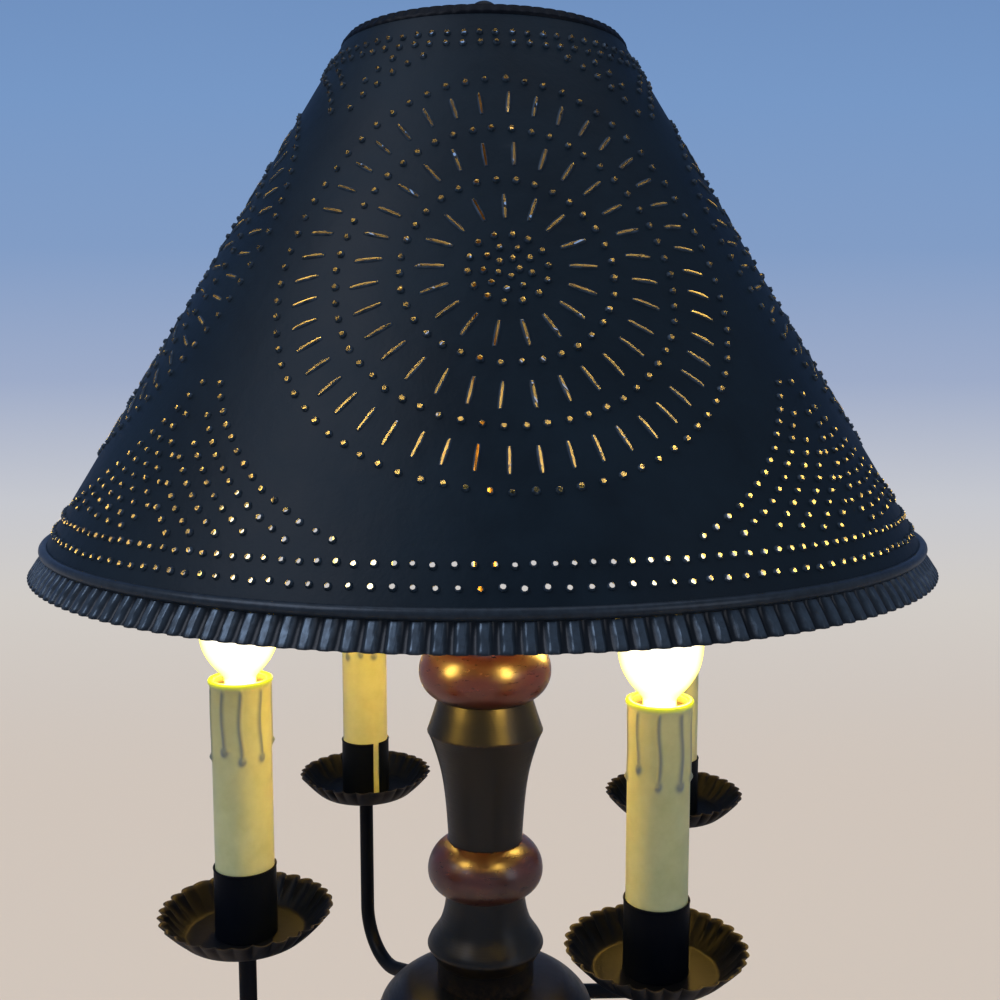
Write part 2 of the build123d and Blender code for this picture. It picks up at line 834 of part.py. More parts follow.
def finial():
    """Turned finial screwed on the pipe's top end."""
    base = seat_z + spider_thickness
    top = base + finial_height
    middle = top - finial_ball_radius
    meet = middle - sqrt(finial_ball_radius ** 2 - finial_neck_radius ** 2)
    skirt = base + finial_skirt_height
    waist = (pipe_radius + finial_waist_wall, base + finial_waist_height)
    neck = (finial_neck_radius, base + finial_waist_height + finial_neck_height)
    flare = Spline((finial_base_radius, skirt), waist, neck, tangents=((0, 1), (0, 1)))
    ball = ThreePointArc((finial_neck_radius, meet), (finial_ball_radius, middle), (0, top))
    side = Polyline((0, top), (0, base), (finial_base_radius, base), (finial_base_radius, skirt))
    link = Polyline(neck, (finial_neck_radius, meet))
    body = spin([*side.edges(), flare, *link.edges(), ball])
    return body - rod(pipe_radius + running_gap, base, base + finial_bore_depth)


single = {
    "base_pad": base_pad, "bottom_plate": bottom_plate, "plate_screws": plate_screws, "foot": foot,
    "foot_bead": foot_bead, "pedestal": pedestal, "ball_body": ball_body, "skirt_turning": skirt_turning,
    "lower_bead": lower_bead, "vase_turning": vase_turning, "upper_bead": upper_bead,
    "column_cap": column_cap, "riser_pipe": riser_pipe, "pipe_washers": pipe_washers,
    "pipe_nuts": pipe_nuts, "arm_nuts": arm_nuts,
    "socket_stems": socket_stems, "socket_bodies": socket_bodies, "screw_shells": screw_shells,
    "socket_contacts": socket_contacts, "arm_wires": arm_wires, "wire_splice": wire_splice,
    "switch_lead": switch_lead, "switch_body": switch_body, "switch_nut": switch_nut,
    "switch_shaft": switch_shaft, "switch_knob": switch_knob, "cord_bushing": cord_bushing,
    "shade_cone": shade_cone, "shade_bead": shade_bead, "shade_flange": shade_flange,
    "shade_crown": shade_crown, "shade_spider": shade_spider, "shade_seat": shade_seat, "finial": finial,
}
per_arm = {
    "arm_tube": arm_tube, "drip_pan": drip_pan, "candle_cup": candle_cup, "candle_cover": candle_cover,
    "bulb_base": bulb_base, "bulb_glass": bulb_glass,
}

for name, make in single.items():
    export_step(make(), f"parts/{name}.step")
for number, angle in enumerate(arm_angles, start=1):
    for name, make in per_arm.items():
        export_step(make(angle), f"parts/{name}_{number}.step")
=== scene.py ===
"""Dressed model of a four-candle table lamp: turned wooden column, bent tube arms and a pierced tin shade.

Sizes are millimetres until a mesh is written, and heights count from the table. Azimuths turn from the
front (-Y) towards the right (+X).
"""

from __future__ import annotations

import logging
import math
from dataclasses import dataclass
from enum import Enum
from typing import Any, Callable, Optional, Sequence

import bpy
import numpy as np
from mathutils import Matrix
from mathutils.geometry import delaunay_2d_cdt

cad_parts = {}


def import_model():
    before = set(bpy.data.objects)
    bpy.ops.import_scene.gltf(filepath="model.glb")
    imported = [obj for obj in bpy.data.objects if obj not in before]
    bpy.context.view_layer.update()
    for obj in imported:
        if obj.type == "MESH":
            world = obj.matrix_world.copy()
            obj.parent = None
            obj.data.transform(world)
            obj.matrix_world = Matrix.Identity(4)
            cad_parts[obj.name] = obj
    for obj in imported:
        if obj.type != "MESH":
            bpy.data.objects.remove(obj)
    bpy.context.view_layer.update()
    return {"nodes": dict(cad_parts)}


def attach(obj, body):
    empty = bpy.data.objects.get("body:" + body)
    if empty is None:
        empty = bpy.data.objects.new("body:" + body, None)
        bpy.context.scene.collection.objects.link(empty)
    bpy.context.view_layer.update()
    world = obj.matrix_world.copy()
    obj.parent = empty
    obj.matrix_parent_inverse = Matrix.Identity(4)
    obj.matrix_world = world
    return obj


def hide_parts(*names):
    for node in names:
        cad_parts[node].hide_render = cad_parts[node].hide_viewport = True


LOG = logging.getLogger("lamp")
MM = 0.001

# Heights shared by several sub-assemblies
BALL_Z = 86.0
RIM_Z = 336.0
PAN_UNDER = 189.9
CUP_FLOOR = 191.1
COVER_TOP = 296.1
SEAT_Z = 541.8
CANDLE_RADIUS = 116.6
PIPE_HOLE = 5.25


# Colour and shader helpers

Tree = bpy.types.NodeTree
Socket = bpy.types.NodeSocket


def linear(code: str) -> tuple[float, float, float, float]:
    """Turn an sRGB hex code into linear colour.

    Args:
        code: A hash and six hex digits.

    Returns:
        Linear red, green and blue, and full alpha.
    """
    values = [int(code[i:i + 2], 16) / 255 for i in (1, 3, 5)]
    red, green, blue = (v / 12.92 if v <= 0.04045 else ((v + 0.055) / 1.055) ** 2.4 for v in values)
    return red, green, blue, 1.0


def feed(tree: Tree, made: bpy.types.Node, **sockets: Any) -> None:
    """Link or set a node's inputs.

    Args:
        tree: The node tree.
        made: The node.
        **sockets: Input names, with underscores for spaces or "i3" for the fourth input. An output socket is
            linked and anything else is set as the input's own value.
    """
    for name, value in sockets.items():
        place = int(name[1:]) if name[0] == "i" and name[1:].isdigit() else name.replace("_", " ")
        if isinstance(value, Socket):
            tree.links.new(value, made.inputs[place])
        else:
            made.inputs[place].default_value = value


def add_node(tree: Tree, kind: str, settings: Optional[dict[str, Any]] = None, **sockets: Any) -> bpy.types.Node:
    """Add one node, set its properties and feed its inputs.

    Args:
        tree: The node tree that gets the node.
        kind: Node class name without the "ShaderNode" in front.
        settings: Property names with their values.
        **sockets: Its inputs, as feed takes them.

    Returns:
        The new node.
    """
    made = tree.nodes.new("ShaderNode" + kind)
    for name, value in (settings or {}).items():
        setattr(made, name, value)
    feed(tree, made, **sockets)
    return made


def times(tree: Tree, one: Any, other: Any, clamp: bool = False) -> Socket:
    """Multiply two sockets or numbers, and hold the result between 0 and 1 if asked."""
    return add_node(tree, "Math", {"operation": "MULTIPLY", "use_clamp": clamp}, i0=one, i1=other).outputs[0]


def blend(tree: Tree, share: Socket, base: Any, over: Any) -> Socket:
    """Mix one colour over another by a share from 0 to 1. Each is a socket or a hex code."""
    base, over = (linear(tone) if isinstance(tone, str) else tone for tone in (base, over))
    return add_node(tree, "Mix", {"data_type": "RGBA"}, Factor=share, i6=base, i7=over).outputs[2]


def climb(tree: Tree, value: Socket, low: float, high: float, first: float = 0.0) -> Socket:
    """Ease from first up to 1 while the value runs from low to high."""
    return add_node(tree, "MapRange", {"interpolation_type": "SMOOTHSTEP"}, Value=value, i1=low, i2=high,
                    i3=first, i4=1.0).outputs[0]


def height_of(tree: Tree, where: Socket) -> Socket:
    """Height of a place in metres."""
    return add_node(tree, "SeparateXYZ", Vector=where).outputs[2]


def wear_sheen_mark(tree: Tree) -> Socket:
    """Share of rubbing and painted sheen here, from the mesh's own rub attribute; on the wax covers it marks the
    runs.
    """
    return add_node(tree, "Attribute", {"attribute_name": "rub"}).outputs["Fac"]


def ramp(tree: Tree, factor: Socket, stops: Sequence[tuple[float, Any]]) -> Socket:
    """Map a factor through colour stops.

    Args:
        tree: The node tree.
        factor: Socket that drives the ramp.
        stops: Places from 0 to 1 with a hex code or a grey level each.

    Returns:
        The ramp's colour socket.
    """
    made = add_node(tree, "ValToRGB", Fac=factor)
    while len(made.color_ramp.elements) < len(stops):
        made.color_ramp.elements.new(0.5)
    for element, (place, tone) in zip(made.color_ramp.elements, stops):
        element.position = place
        element.color = linear(tone) if isinstance(tone, str) else (tone, tone, tone, 1.0)
    return made.outputs[0]


def start(name: str) -> tuple[bpy.types.Material, Tree, bpy.types.Node, Socket]:
    """Open an empty material.

    Args:
        name: The material's name.

    Returns:
        The material, its tree, its main shader and the Object coordinate socket.
    """
    material = bpy.data.materials.new(name)
    material.use_nodes = True
    tree = material.node_tree
    tree.nodes.clear()
    shader = add_node(tree, "BsdfPrincipled")
    add_node(tree, "OutputMaterial", Surface=shader.outputs[0])
    return material, tree, shader, add_node(tree, "TexCoord").outputs["Object"]


def noise(tree: Tree, where: Socket, grain_mm: float, detail: float = 3.0, rough: float = 0.5) -> Socket:
    """Noise whose blobs are about grain_mm wide.

    Args:
        tree: The node tree.
        where: Coordinate socket in metres.
        grain_mm: Width of a blob in millimetres.
        detail: Octaves.
        rough: How strongly the fine octaves count.

    Returns:
        The factor socket.
    """
    made = add_node(tree, "TexNoise", Vector=where, Scale=1 / (grain_mm * MM), Detail=detail, Roughness=rough)
    return made.outputs[0]


def bump(tree: Tree, height: Socket, depth_mm: float, strength: float, under: Optional[Socket] = None) -> Socket:
    """Raise the surface by a height from 0 to 1.

    Args:
        tree: The node tree.
        height: Socket with the height.
        depth_mm: What a height of 1 stands for.
        strength: Share of the effect.
        under: Normal of a bump that lies under this one.

    Returns:
        The normal socket.
    """
    made = add_node(tree, "Bump", Height=height, Distance=depth_mm * MM, Strength=strength)
    if under is not None:
        tree.links.new(under, made.inputs["Normal"])
    return made.outputs[0]


# Finishes

@dataclass(frozen=True)
class TurnedPaint:
    """Oil paint brushed on turned poplar, satin black or glossier red: fine lathe rings and brush drag show
    through and its corners show rubbing."""

    name: str
    coat: str
    shade: str
    rubbed_and_sheen: str
    roughness: float = 0.42
    gleam: float = 0.3
    drag_mm: float = 0.05
    varnish: float = 0.05
    ring_mm: float = 1.1
    rub_share: float = 0.5
    cloud_mm: float = 18.0
    brush_mm: float = 5.5
    brush_stretch: float = 6.0
    fleck_mm: float = 2.4

    def make(self) -> bpy.types.Material:
        """Build the material."""
        material, tree, shader, where = start(self.name)
        coat = ramp(tree, noise(tree, where, self.cloud_mm, 4), [(0.3, self.shade), (0.7, self.coat)])
        stretched = add_node(tree, "Mapping", Vector=where, Scale=(1, 1, self.brush_stretch)).outputs[0]
        drag = noise(tree, stretched, self.brush_mm, 3, 0.55)
        flecks = noise(tree, where, self.fleck_mm, 4, 0.7)
        wear_sheen_share = times(tree, wear_sheen_mark(tree), ramp(tree, flecks, [(0.42, 0.0), (0.62, 1.0)]))
        bare = times(tree, wear_sheen_share, self.rub_share, clamp=True)
        rings = add_node(tree, "TexWave", {"wave_type": "BANDS", "bands_direction": "Z"}, Vector=where,
                         Scale=0.314 / (self.ring_mm * MM), Distortion=1.2, Detail=2.0, Detail_Scale=2.0)
        lathed = bump(tree, rings.outputs[1], 0.5 * self.drag_mm, 0.4)
        gloss = ramp(tree, drag, [(0.3, self.roughness - 0.04), (0.75, self.roughness + 0.08)])
        feed(tree, shader, Base_Color=blend(tree, bare, coat, self.rubbed_and_sheen), Roughness=gloss,
             Normal=bump(tree, drag, self.drag_mm, 0.6, lathed), Specular_IOR_Level=self.gleam,
             Coat_Weight=self.varnish, Coat_Roughness=0.26)
        return material


@dataclass(frozen=True)
class PaintedTin:
    """Black lacquer over tinplate: slight orange peel, dusty mottling, and a lighter grey metal share on burr crests
    and ribs, partly rubbing of the paint and partly painted sheen for their highlights."""

    name: str = "painted_tin"
    coat: str = "#0a1923"
    dusty: str = "#12232e"
    rubbed_and_sheen: str = "#6f8296"
    roughness: float = 0.42
    peel_mm: float = 1.6
    gleam: float = 0.18
    bare: float = 0.5
    cloud_mm: float = 34.0
    fleck_mm: float = 3.0

    def make(self) -> bpy.types.Material:
        """Build the material."""
        material, tree, shader, where = start(self.name)
        cloud = noise(tree, where, self.cloud_mm, 5, 0.6)
        coat = ramp(tree, cloud, [(0.34, self.coat), (0.72, self.dusty)])
        flecks = noise(tree, where, self.fleck_mm, 3, 0.6)
        # Lighter metal where the rub attribute is high: rubbing on edges, painted sheen on burrs and ribs.
        wear_sheen_share = times(tree, wear_sheen_mark(tree), ramp(tree, flecks, [(0.35, 0.5), (0.65, 0.95)]), clamp=True)
        gloss = ramp(tree, cloud, [(0.3, self.roughness), (0.75, self.roughness + 0.12)])
        normal = bump(tree, noise(tree, where, 26, 2), 0.7, 0.6)
        normal = bump(tree, noise(tree, where, 5.5, 4, 0.65), 0.22, 0.6, normal)
        normal = bump(tree, noise(tree, where, self.peel_mm, 2), 0.05, 0.7, normal)
        feed(tree, shader, Base_Color=blend(tree, wear_sheen_share, coat, self.rubbed_and_sheen), Roughness=gloss,
             Metallic=times(tree, wear_sheen_share, self.bare), Normal=normal, Specular_IOR_Level=self.gleam)
        return material


@dataclass(frozen=True)
class BareTin:
    """Unpainted tinplate inside the shade: grey metal with spangle-sized mottling and a soft gloss, painted darker
    above the rim as painted shade for the weaker bulb light up there, so the holes look bright low down and bronze
    higher up."""

    name: str = "bare_tin"
    metal: str = "#a9abb0"
    stain: str = "#8b8d93"
    # Painted shade: darker tone, full from this height over the rim, for the weaker bulb light high in the shade.
    painted_shade_tone: str = "#54555b"
    painted_shade_height: float = 105.0
    roughness: float = 0.5

    def make(self) -> bpy.types.Material:
        """Build the material."""
        material, tree, shader, where = start(self.name)
        spangle = noise(tree, where, 9, 3, 0.6)
        clean = ramp(tree, spangle, [(0.35, self.stain), (0.65, self.metal)])
        # Painted shade: the colour darkens from 10 mm over the rim up to the painted shade height.
        painted_shade_share = climb(tree, height_of(tree, where), (RIM_Z + 10) * MM, (RIM_Z + self.painted_shade_height) * MM)
        gloss = ramp(tree, spangle, [(0.3, self.roughness - 0.07), (0.7, self.roughness + 0.1)])
        feed(tree, shader, Base_Color=blend(tree, painted_shade_share, clean, self.painted_shade_tone), Roughness=gloss, Metallic=0.35,
             Normal=bump(tree, spangle, 0.06, 0.5))
        return material


@dataclass(frozen=True)
class Metal:
    """Plain metal stock, brass or zinc-plated steel: fine draw marks and a dull film in patches."""

    name: str
    metal: str
    film: str
    roughness: float = 0.3
    grain_mm: float = 1.4

    def make(self) -> bpy.types.Material:
        """Build the material."""
        material, tree, shader, where = start(self.name)
        patches = noise(tree, where, 7, 4, 0.6)
        colour = ramp(tree, patches, [(0.35, self.film), (0.62, self.metal)])
        marks = noise(tree, where, self.grain_mm, 3)
        gloss = ramp(tree, patches, [(0.3, self.roughness + 0.14), (0.7, self.roughness)])
        feed(tree, shader, Base_Color=colour, Roughness=gloss, Metallic=1.0, Normal=bump(tree, marks, 0.03, 0.5))
        return material


@dataclass(frozen=True)
class Moulded:
    """Phenolic, rubber or PVC moulding: even colour with a fine spark-eroded grain."""

    name: str
    colour: str
    roughness: float = 0.4
    grain_mm: float = 0.8

    def make(self) -> bpy.types.Material:
        """Build the material."""
        material, tree, shader, where = start(self.name)
        grain = noise(tree, where, self.grain_mm, 2)
        tone = ramp(tree, noise(tree, where, 6, 2), [(0.3, self.colour), (1.0, "#3a3a3a")])
        feed(tree, shader, Base_Color=tone, Roughness=self.roughness, Normal=bump(tree, grain, 0.04, 0.5))
        return material


@dataclass(frozen=True)
class WaxCover:
    """Ivory candle cover dipped in beeswax: soft and slightly see-through. Its top is painted light, a yellow-green
    tone and an emission glow for bulb light coming through the wax, and its runs are a greyer tone, partly the wax's
    own and partly painted shade."""

    name: str = "wax_cover"
    wax: str = "#dadea6"
    deep: str = "#cdd296"
    # Run tone: partly the wax's own, partly painted shade on the runs' shaded sides.
    run: str = "#909c92"
    # Painted light: rim tone and emission glow for bulb light coming through the top of the wax.
    rim: str = "#6c7c10"
    glow: str = "#c2cc10"
    painted_glow_reach: float = 3.2

    def make(self) -> bpy.types.Material:
        """Build the material."""
        material, tree, shader, where = start(self.name)
        body = ramp(tree, noise(tree, where, 11, 4, 0.6), [(0.3, self.deep), (0.62, self.wax)])
        # Runs take the greyer run tone: partly the wax's own, partly painted shade.
        body = blend(tree, wear_sheen_mark(tree), body, self.run)
        # Painted light: over the top few millimetres the colour turns to the rim tone and the surface emits the glow.
        lit = climb(tree, height_of(tree, where), (COVER_TOP - self.painted_glow_reach) * MM, COVER_TOP * MM)
        power = add_node(tree, "Math", {"operation": "POWER"}, i0=lit, i1=1.6).outputs[0]
        feed(tree, shader, Base_Color=blend(tree, power, body, self.rim), Roughness=0.36, Subsurface_Weight=0.15,
             Subsurface_Scale=0.002, Subsurface_Radius=(1.0, 0.6, 0.25), Emission_Color=linear(self.glow),
             Emission_Strength=power, Normal=bump(tree, noise(tree, where, 3.5, 2), 0.04, 0.4))
        return material


@dataclass(frozen=True)
class LitGlass:
    """Acid-frosted soda glass of a lit bulb: near white to the eye, yellower at its edge, golden on what it
    lights."""

    name: str = "lit_frosted_glass"
    light: str = "#ffca5a"
    core: str = "#fffbe6"
    edge: str = "#f4e250"
    strength: float = 42.0
    seen: float = 1.4

    def make(self) -> bpy.types.Material:
        """Build the material."""
        material, tree, shader, where = start(self.name)
        film = noise(tree, where, 2.0, 2)
        direct = add_node(tree, "LightPath").outputs["Is Camera Ray"]
        facing = add_node(tree, "LayerWeight", Blend=0.35).outputs["Facing"]
        face = ramp(tree, facing, [(0.25, self.core), (0.72, self.edge)])
        power = add_node(tree, "MapRange", Value=direct, i1=0.0, i2=1.0, i3=self.strength, i4=self.seen).outputs[0]
        feed(tree, shader, Base_Color=linear("#f4efe6"), Roughness=0.45,
             Emission_Color=blend(tree, direct, self.light, face), Emission_Strength=power,
             Normal=bump(tree, film, 0.02, 0.5))
        return material


@dataclass(frozen=True)
class Felt:
    """Pressed wool felt: matt, with fibre fuzz."""

    name: str = "felt"
    wool: str = "#1d2a20"

    def make(self) -> bpy.types.Material:
        """Build the material."""
        material, tree, shader, where = start(self.name)
        fuzz = noise(tree, where, 0.9, 5, 0.75)
        colour = ramp(tree, fuzz, [(0.3, self.wool), (0.75, "#3a4a3c")])
        feed(tree, shader, Base_Color=colour, Roughness=0.95, Sheen_Weight=0.3, Normal=bump(tree, fuzz, 0.2, 0.8))
        return material


class Finish(Enum):
    """The finishes of this lamp, each made once."""

    BLACK_WOOD = TurnedPaint("black_painted_poplar", "#06080d", "#04060a", "#4a3a24", roughness=0.36, gleam=0.42)
    RED_WOOD = TurnedPaint("barn_red_painted_poplar", "#3f130a", "#2b0e07", "#7a4420", roughness=0.3, gleam=0.8,
                           drag_mm=0.008, varnish=0.35)
    # Painted tin of the cone: its pale metal tone on burr crests is partly rubbing, partly painted glints.
    TIN = PaintedTin()
    BLACK_METAL = PaintedTin("black_enamelled_steel", "#040811", "#080d16", "#4a443a", roughness=0.4, peel_mm=0.9,
                             gleam=0.11, bare=0.0)
    # Ribbed tin: its lighter metal tone and high metal share are painted sheen for the lit faces of the flange ribs
    # and bead.
    RIBBED_TIN = PaintedTin("ribbed_tin", "#060c14", "#0a131e", "#56626d", roughness=0.27, peel_mm=1.4, gleam=0.3,
                            bare=0.9)
    INNER_TIN = BareTin()
    BRASS = Metal("aged_brass", "#b9935a", "#7e5f33", 0.28)
    STEEL = Metal("zinc_plated_steel", "#b9babc", "#8f9296", 0.32)
    SOCKET = Moulded("phenolic_socket", "#161616", 0.38)
    WIRE = Moulded("wire_sleeve", "#1a1a1b", 0.55)
    KNOB = Moulded("moulded_knob", "#141415", 0.3)
    CARD = Moulded("card_tube", "#4a3a12", 0.8, 1.2)
    WAX = WaxCover()
    BULB = LitGlass()
    FELT = Felt()

    def material(self) -> bpy.types.Material:
        """This finish's material, built on first use."""
        made = bpy.data.materials.get(self.value.name)
        return made if made else self.value.make()


# Mesh helpers

def grid_quads(rows: int, cols: int, wrap_rows: bool = False, wrap_cols: bool = True) -> np.ndarray:
    """Quads of a grid whose vertices are counted row by row.

    Args:
        rows: Number of rows of vertices.
        cols: Number of vertices in a row.
        wrap_rows: Whether the last row joins the first.
        wrap_cols: Whether each row closes on itself.

    Returns:
        An array of four indices per quad. With rows running up and columns running anticlockwise seen from
        above, the faces look outwards.
    """
    r = np.arange(rows if wrap_rows else rows - 1)
    c = np.arange(cols if wrap_cols else cols - 1)
    low, left = np.meshgrid(r, c, indexing="ij")
    high, right = (low + 1) % rows, (left + 1) % cols
    corners = [low * cols + left, low * cols + right, high * cols + right, high * cols + left]
    return np.stack([x.ravel() for x in corners], axis=1)


def write_piece(name: str, points: np.ndarray, faces: Sequence[np.ndarray], finish: Finish, body: str,
                nodes: Sequence[str], rub: Optional[np.ndarray] = None, inner: Optional[Finish] = None,
                inner_faces: int = 0) -> bpy.types.Object:
    """Write one mesh object and hand it to the frame.

    Args:
        name: The piece's name.
        points: Vertex places in millimetres.
        faces: Arrays of triangles, quads or longer loops.
        finish: What its outside is painted with.
        body: The CAD body that carries it.
        nodes: CAD nodes that it stands for.
        rub: Each vertex's share of rubbing and painted sheen, or of run tone on the wax covers, from 0 to 1.
        inner: Finish of the last inner_faces faces.
        inner_faces: How many faces at the end of the list take the inner finish.

    Returns:
        The new object.
    """
    mesh = bpy.data.meshes.new(name)
    sizes = np.concatenate([np.full(len(f), f.shape[1], np.int32) for f in faces])
    loops = np.concatenate([f.ravel() for f in faces]).astype(np.int32)
    starts = np.concatenate([[0], np.cumsum(sizes)[:-1]]).astype(np.int32)
    mesh.vertices.add(len(points))
    mesh.vertices.foreach_set("co", (points * MM).astype(np.float32).ravel())
    mesh.loops.add(len(loops))
    mesh.loops.foreach_set("vertex_index", loops)
    mesh.polygons.add(len(sizes))
    mesh.polygons.foreach_set("loop_start", starts)
    mesh.polygons.foreach_set("loop_total", sizes)
    mesh.materials.append(finish.material())
    if inner is not None:
        mesh.materials.append(inner.material())
        which = np.zeros(len(sizes), np.int32)
        which[len(sizes) - inner_faces:] = 1
        mesh.polygons.foreach_set("material_index", which)
    mesh.update(calc_edges=True)
    mesh.validate()
    mesh.shade_smooth()
    if rub is not None:
        mesh.attributes.new("rub", "FLOAT", "POINT").data.foreach_set("value", rub.astype(np.float32))
    piece = bpy.data.objects.new(name, mesh)
    bpy.context.scene.collection.objects.link(piece)
    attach(piece, body)
    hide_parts(*nodes)
    LOG.info("%s: %d faces on %s", name, len(sizes), body)
    return piece


def crease(piece: bpy.types.Object, degrees: float = 38.0) -> None:
    """Keep edges sharper than this angle crisp, the rest smooth.

    Args:
        piece: The object.
        degrees: Smallest angle between faces that stays sharp.
    """
    piece.data.set_sharp_from_angle(angle=math.radians(degrees))


def smooth_line(points: Sequence[tuple[float, float]], per_run: int = 8) -> np.ndarray:
    """A rounded line through points: Catmull-Rom, each run a cubic through its two ends whose slopes are half
    the step between the neighbours.

    Args:
        points: The places it passes through.
        per_run: Steps between two of them.

    Returns:
        An array of places.
    """
    p = np.asarray(points, float)
    full = np.vstack([2 * p[0] - p[1], p, 2 * p[-1] - p[-2]])
    a, b, c, d = full[:-3], full[1:-2], full[2:-1], full[3:]
    t = np.linspace(0, 1, per_run, endpoint=False)[None, :, None]
    a, b, c, d = (x[:, None, :] for x in (a, b, c, d))
    runs = 0.5 * (2 * b + (c - a) * t + (2 * a - 5 * b + 4 * c - d) * t ** 2 + (3 * b - a - 3 * c + d) * t ** 3)
    return np.vstack([runs.reshape(-1, p.shape[1]), p[-1:]])


def arc(start_angle: float, end_angle: float, radius: tuple[float, float], centre: tuple[float, float],
        count: int) -> np.ndarray:
    """Part of an ellipse: centre plus (radius x cosine, radius y sine) of evenly spaced angles in degrees."""
    t = np.radians(np.linspace(start_angle, end_angle, count))
    return np.stack([centre[0] + radius[0] * np.cos(t), centre[1] + radius[1] * np.sin(t)], axis=1)


def revolve(outline: np.ndarray, segments: int, closed: bool = True,
            push: Optional[Callable[[np.ndarray, np.ndarray], np.ndarray]] = None
            ) -> tuple[np.ndarray, np.ndarray]:
    """Turn an outline of (radius, height) about the Z axis: x is radius times cosine, y is radius times sine.

    Args:
        outline: The section, running so that the solid lies on its left.
        segments: Columns round the axis.
        closed: Whether the section's end joins its start.
        push: Added to the radius, from the angle and the row of each vertex.

    Returns:
        Vertices and quads.
    """
    turn = np.linspace(0, 2 * np.pi, segments, endpoint=False)[None, :]
    row = np.arange(len(outline))[:, None] * np.ones_like(turn)
    radius = outline[:, :1] * np.ones_like(turn)
    if push is not None:
        radius = radius + push(turn * np.ones_like(radius), row)
    height = outline[:, 1:2] * np.ones_like(turn)
    points = np.stack([radius * np.cos(turn), radius * np.sin(turn), height], axis=-1).reshape(-1, 3)
    return points, grid_quads(len(outline), segments, wrap_rows=closed)


def revolve_capped(outline: np.ndarray, segments: int) -> tuple[np.ndarray, list[np.ndarray]]:
    """Turn an open outline about the Z axis and close each of its ends with one face.

    Args:
        outline: The section, running so that the solid lies on its left.
        segments: Columns round the axis.

    Returns:
        Vertices, and the faces as write_piece takes them.
    """
    points, quads = revolve(outline, segments, closed=False)
    ring = np.arange(segments)[None, :]
    return points, [quads, ring[:, ::-1], ring + (len(outline) - 1) * segments]


def place(points: np.ndarray, angle: float) -> np.ndarray:
    """Carry points from the axis to the candle at this angle in degrees: out along +X, then turned about Z."""
    turn = math.radians(angle)
    x, y = points[:, 0] + CANDLE_RADIUS, points[:, 1]
    return np.stack([x * math.cos(turn) - y * math.sin(turn), x * math.sin(turn) + y * math.cos(turn),
                     points[:, 2]], axis=1)


def edge_wear(outline: np.ndarray, reach: float = 1.6) -> np.ndarray:
    """How far each section point sits on an outside corner, from 0 to 1.

    Args:
        outline: The section.
        reach: Multiplier on the turning angle.

    Returns:
        One value per section point: the outward turn of the line there in radians, times reach.
    """
    before = outline - np.roll(outline, 1, axis=0)
    after = np.roll(outline, -1, axis=0) - outline
    cross = before[:, 0] * after[:, 1] - before[:, 1] * after[:, 0]
    dot = (before * after).sum(1)
    return np.clip(np.arctan2(cross, dot) * reach, 0, 1)


# Column

@dataclass
class Turning:
    """One wooden turning of the column: a visible side between two flat ends, bored for the pipe."""

    name: str
    side: np.ndarray
    finish: Finish = Finish.BLACK_WOOD
    segments: int = 128

    def build(self) -> None:
        """Turn the section and write it. The section runs up the outside and down the bore."""
        low, high = self.side[0, 1], self.side[-1, 1]
        outline = np.vstack([[[PIPE_HOLE, low]], self.side, [[PIPE_HOLE, high]]])
        points, quads = revolve(outline, self.segments)
        wear_and_sheen = np.repeat(edge_wear(outline), self.segments)
        crease(write_piece("turned_" + self.name, points, [quads], self.finish, "root", [self.name], wear_and_sheen))


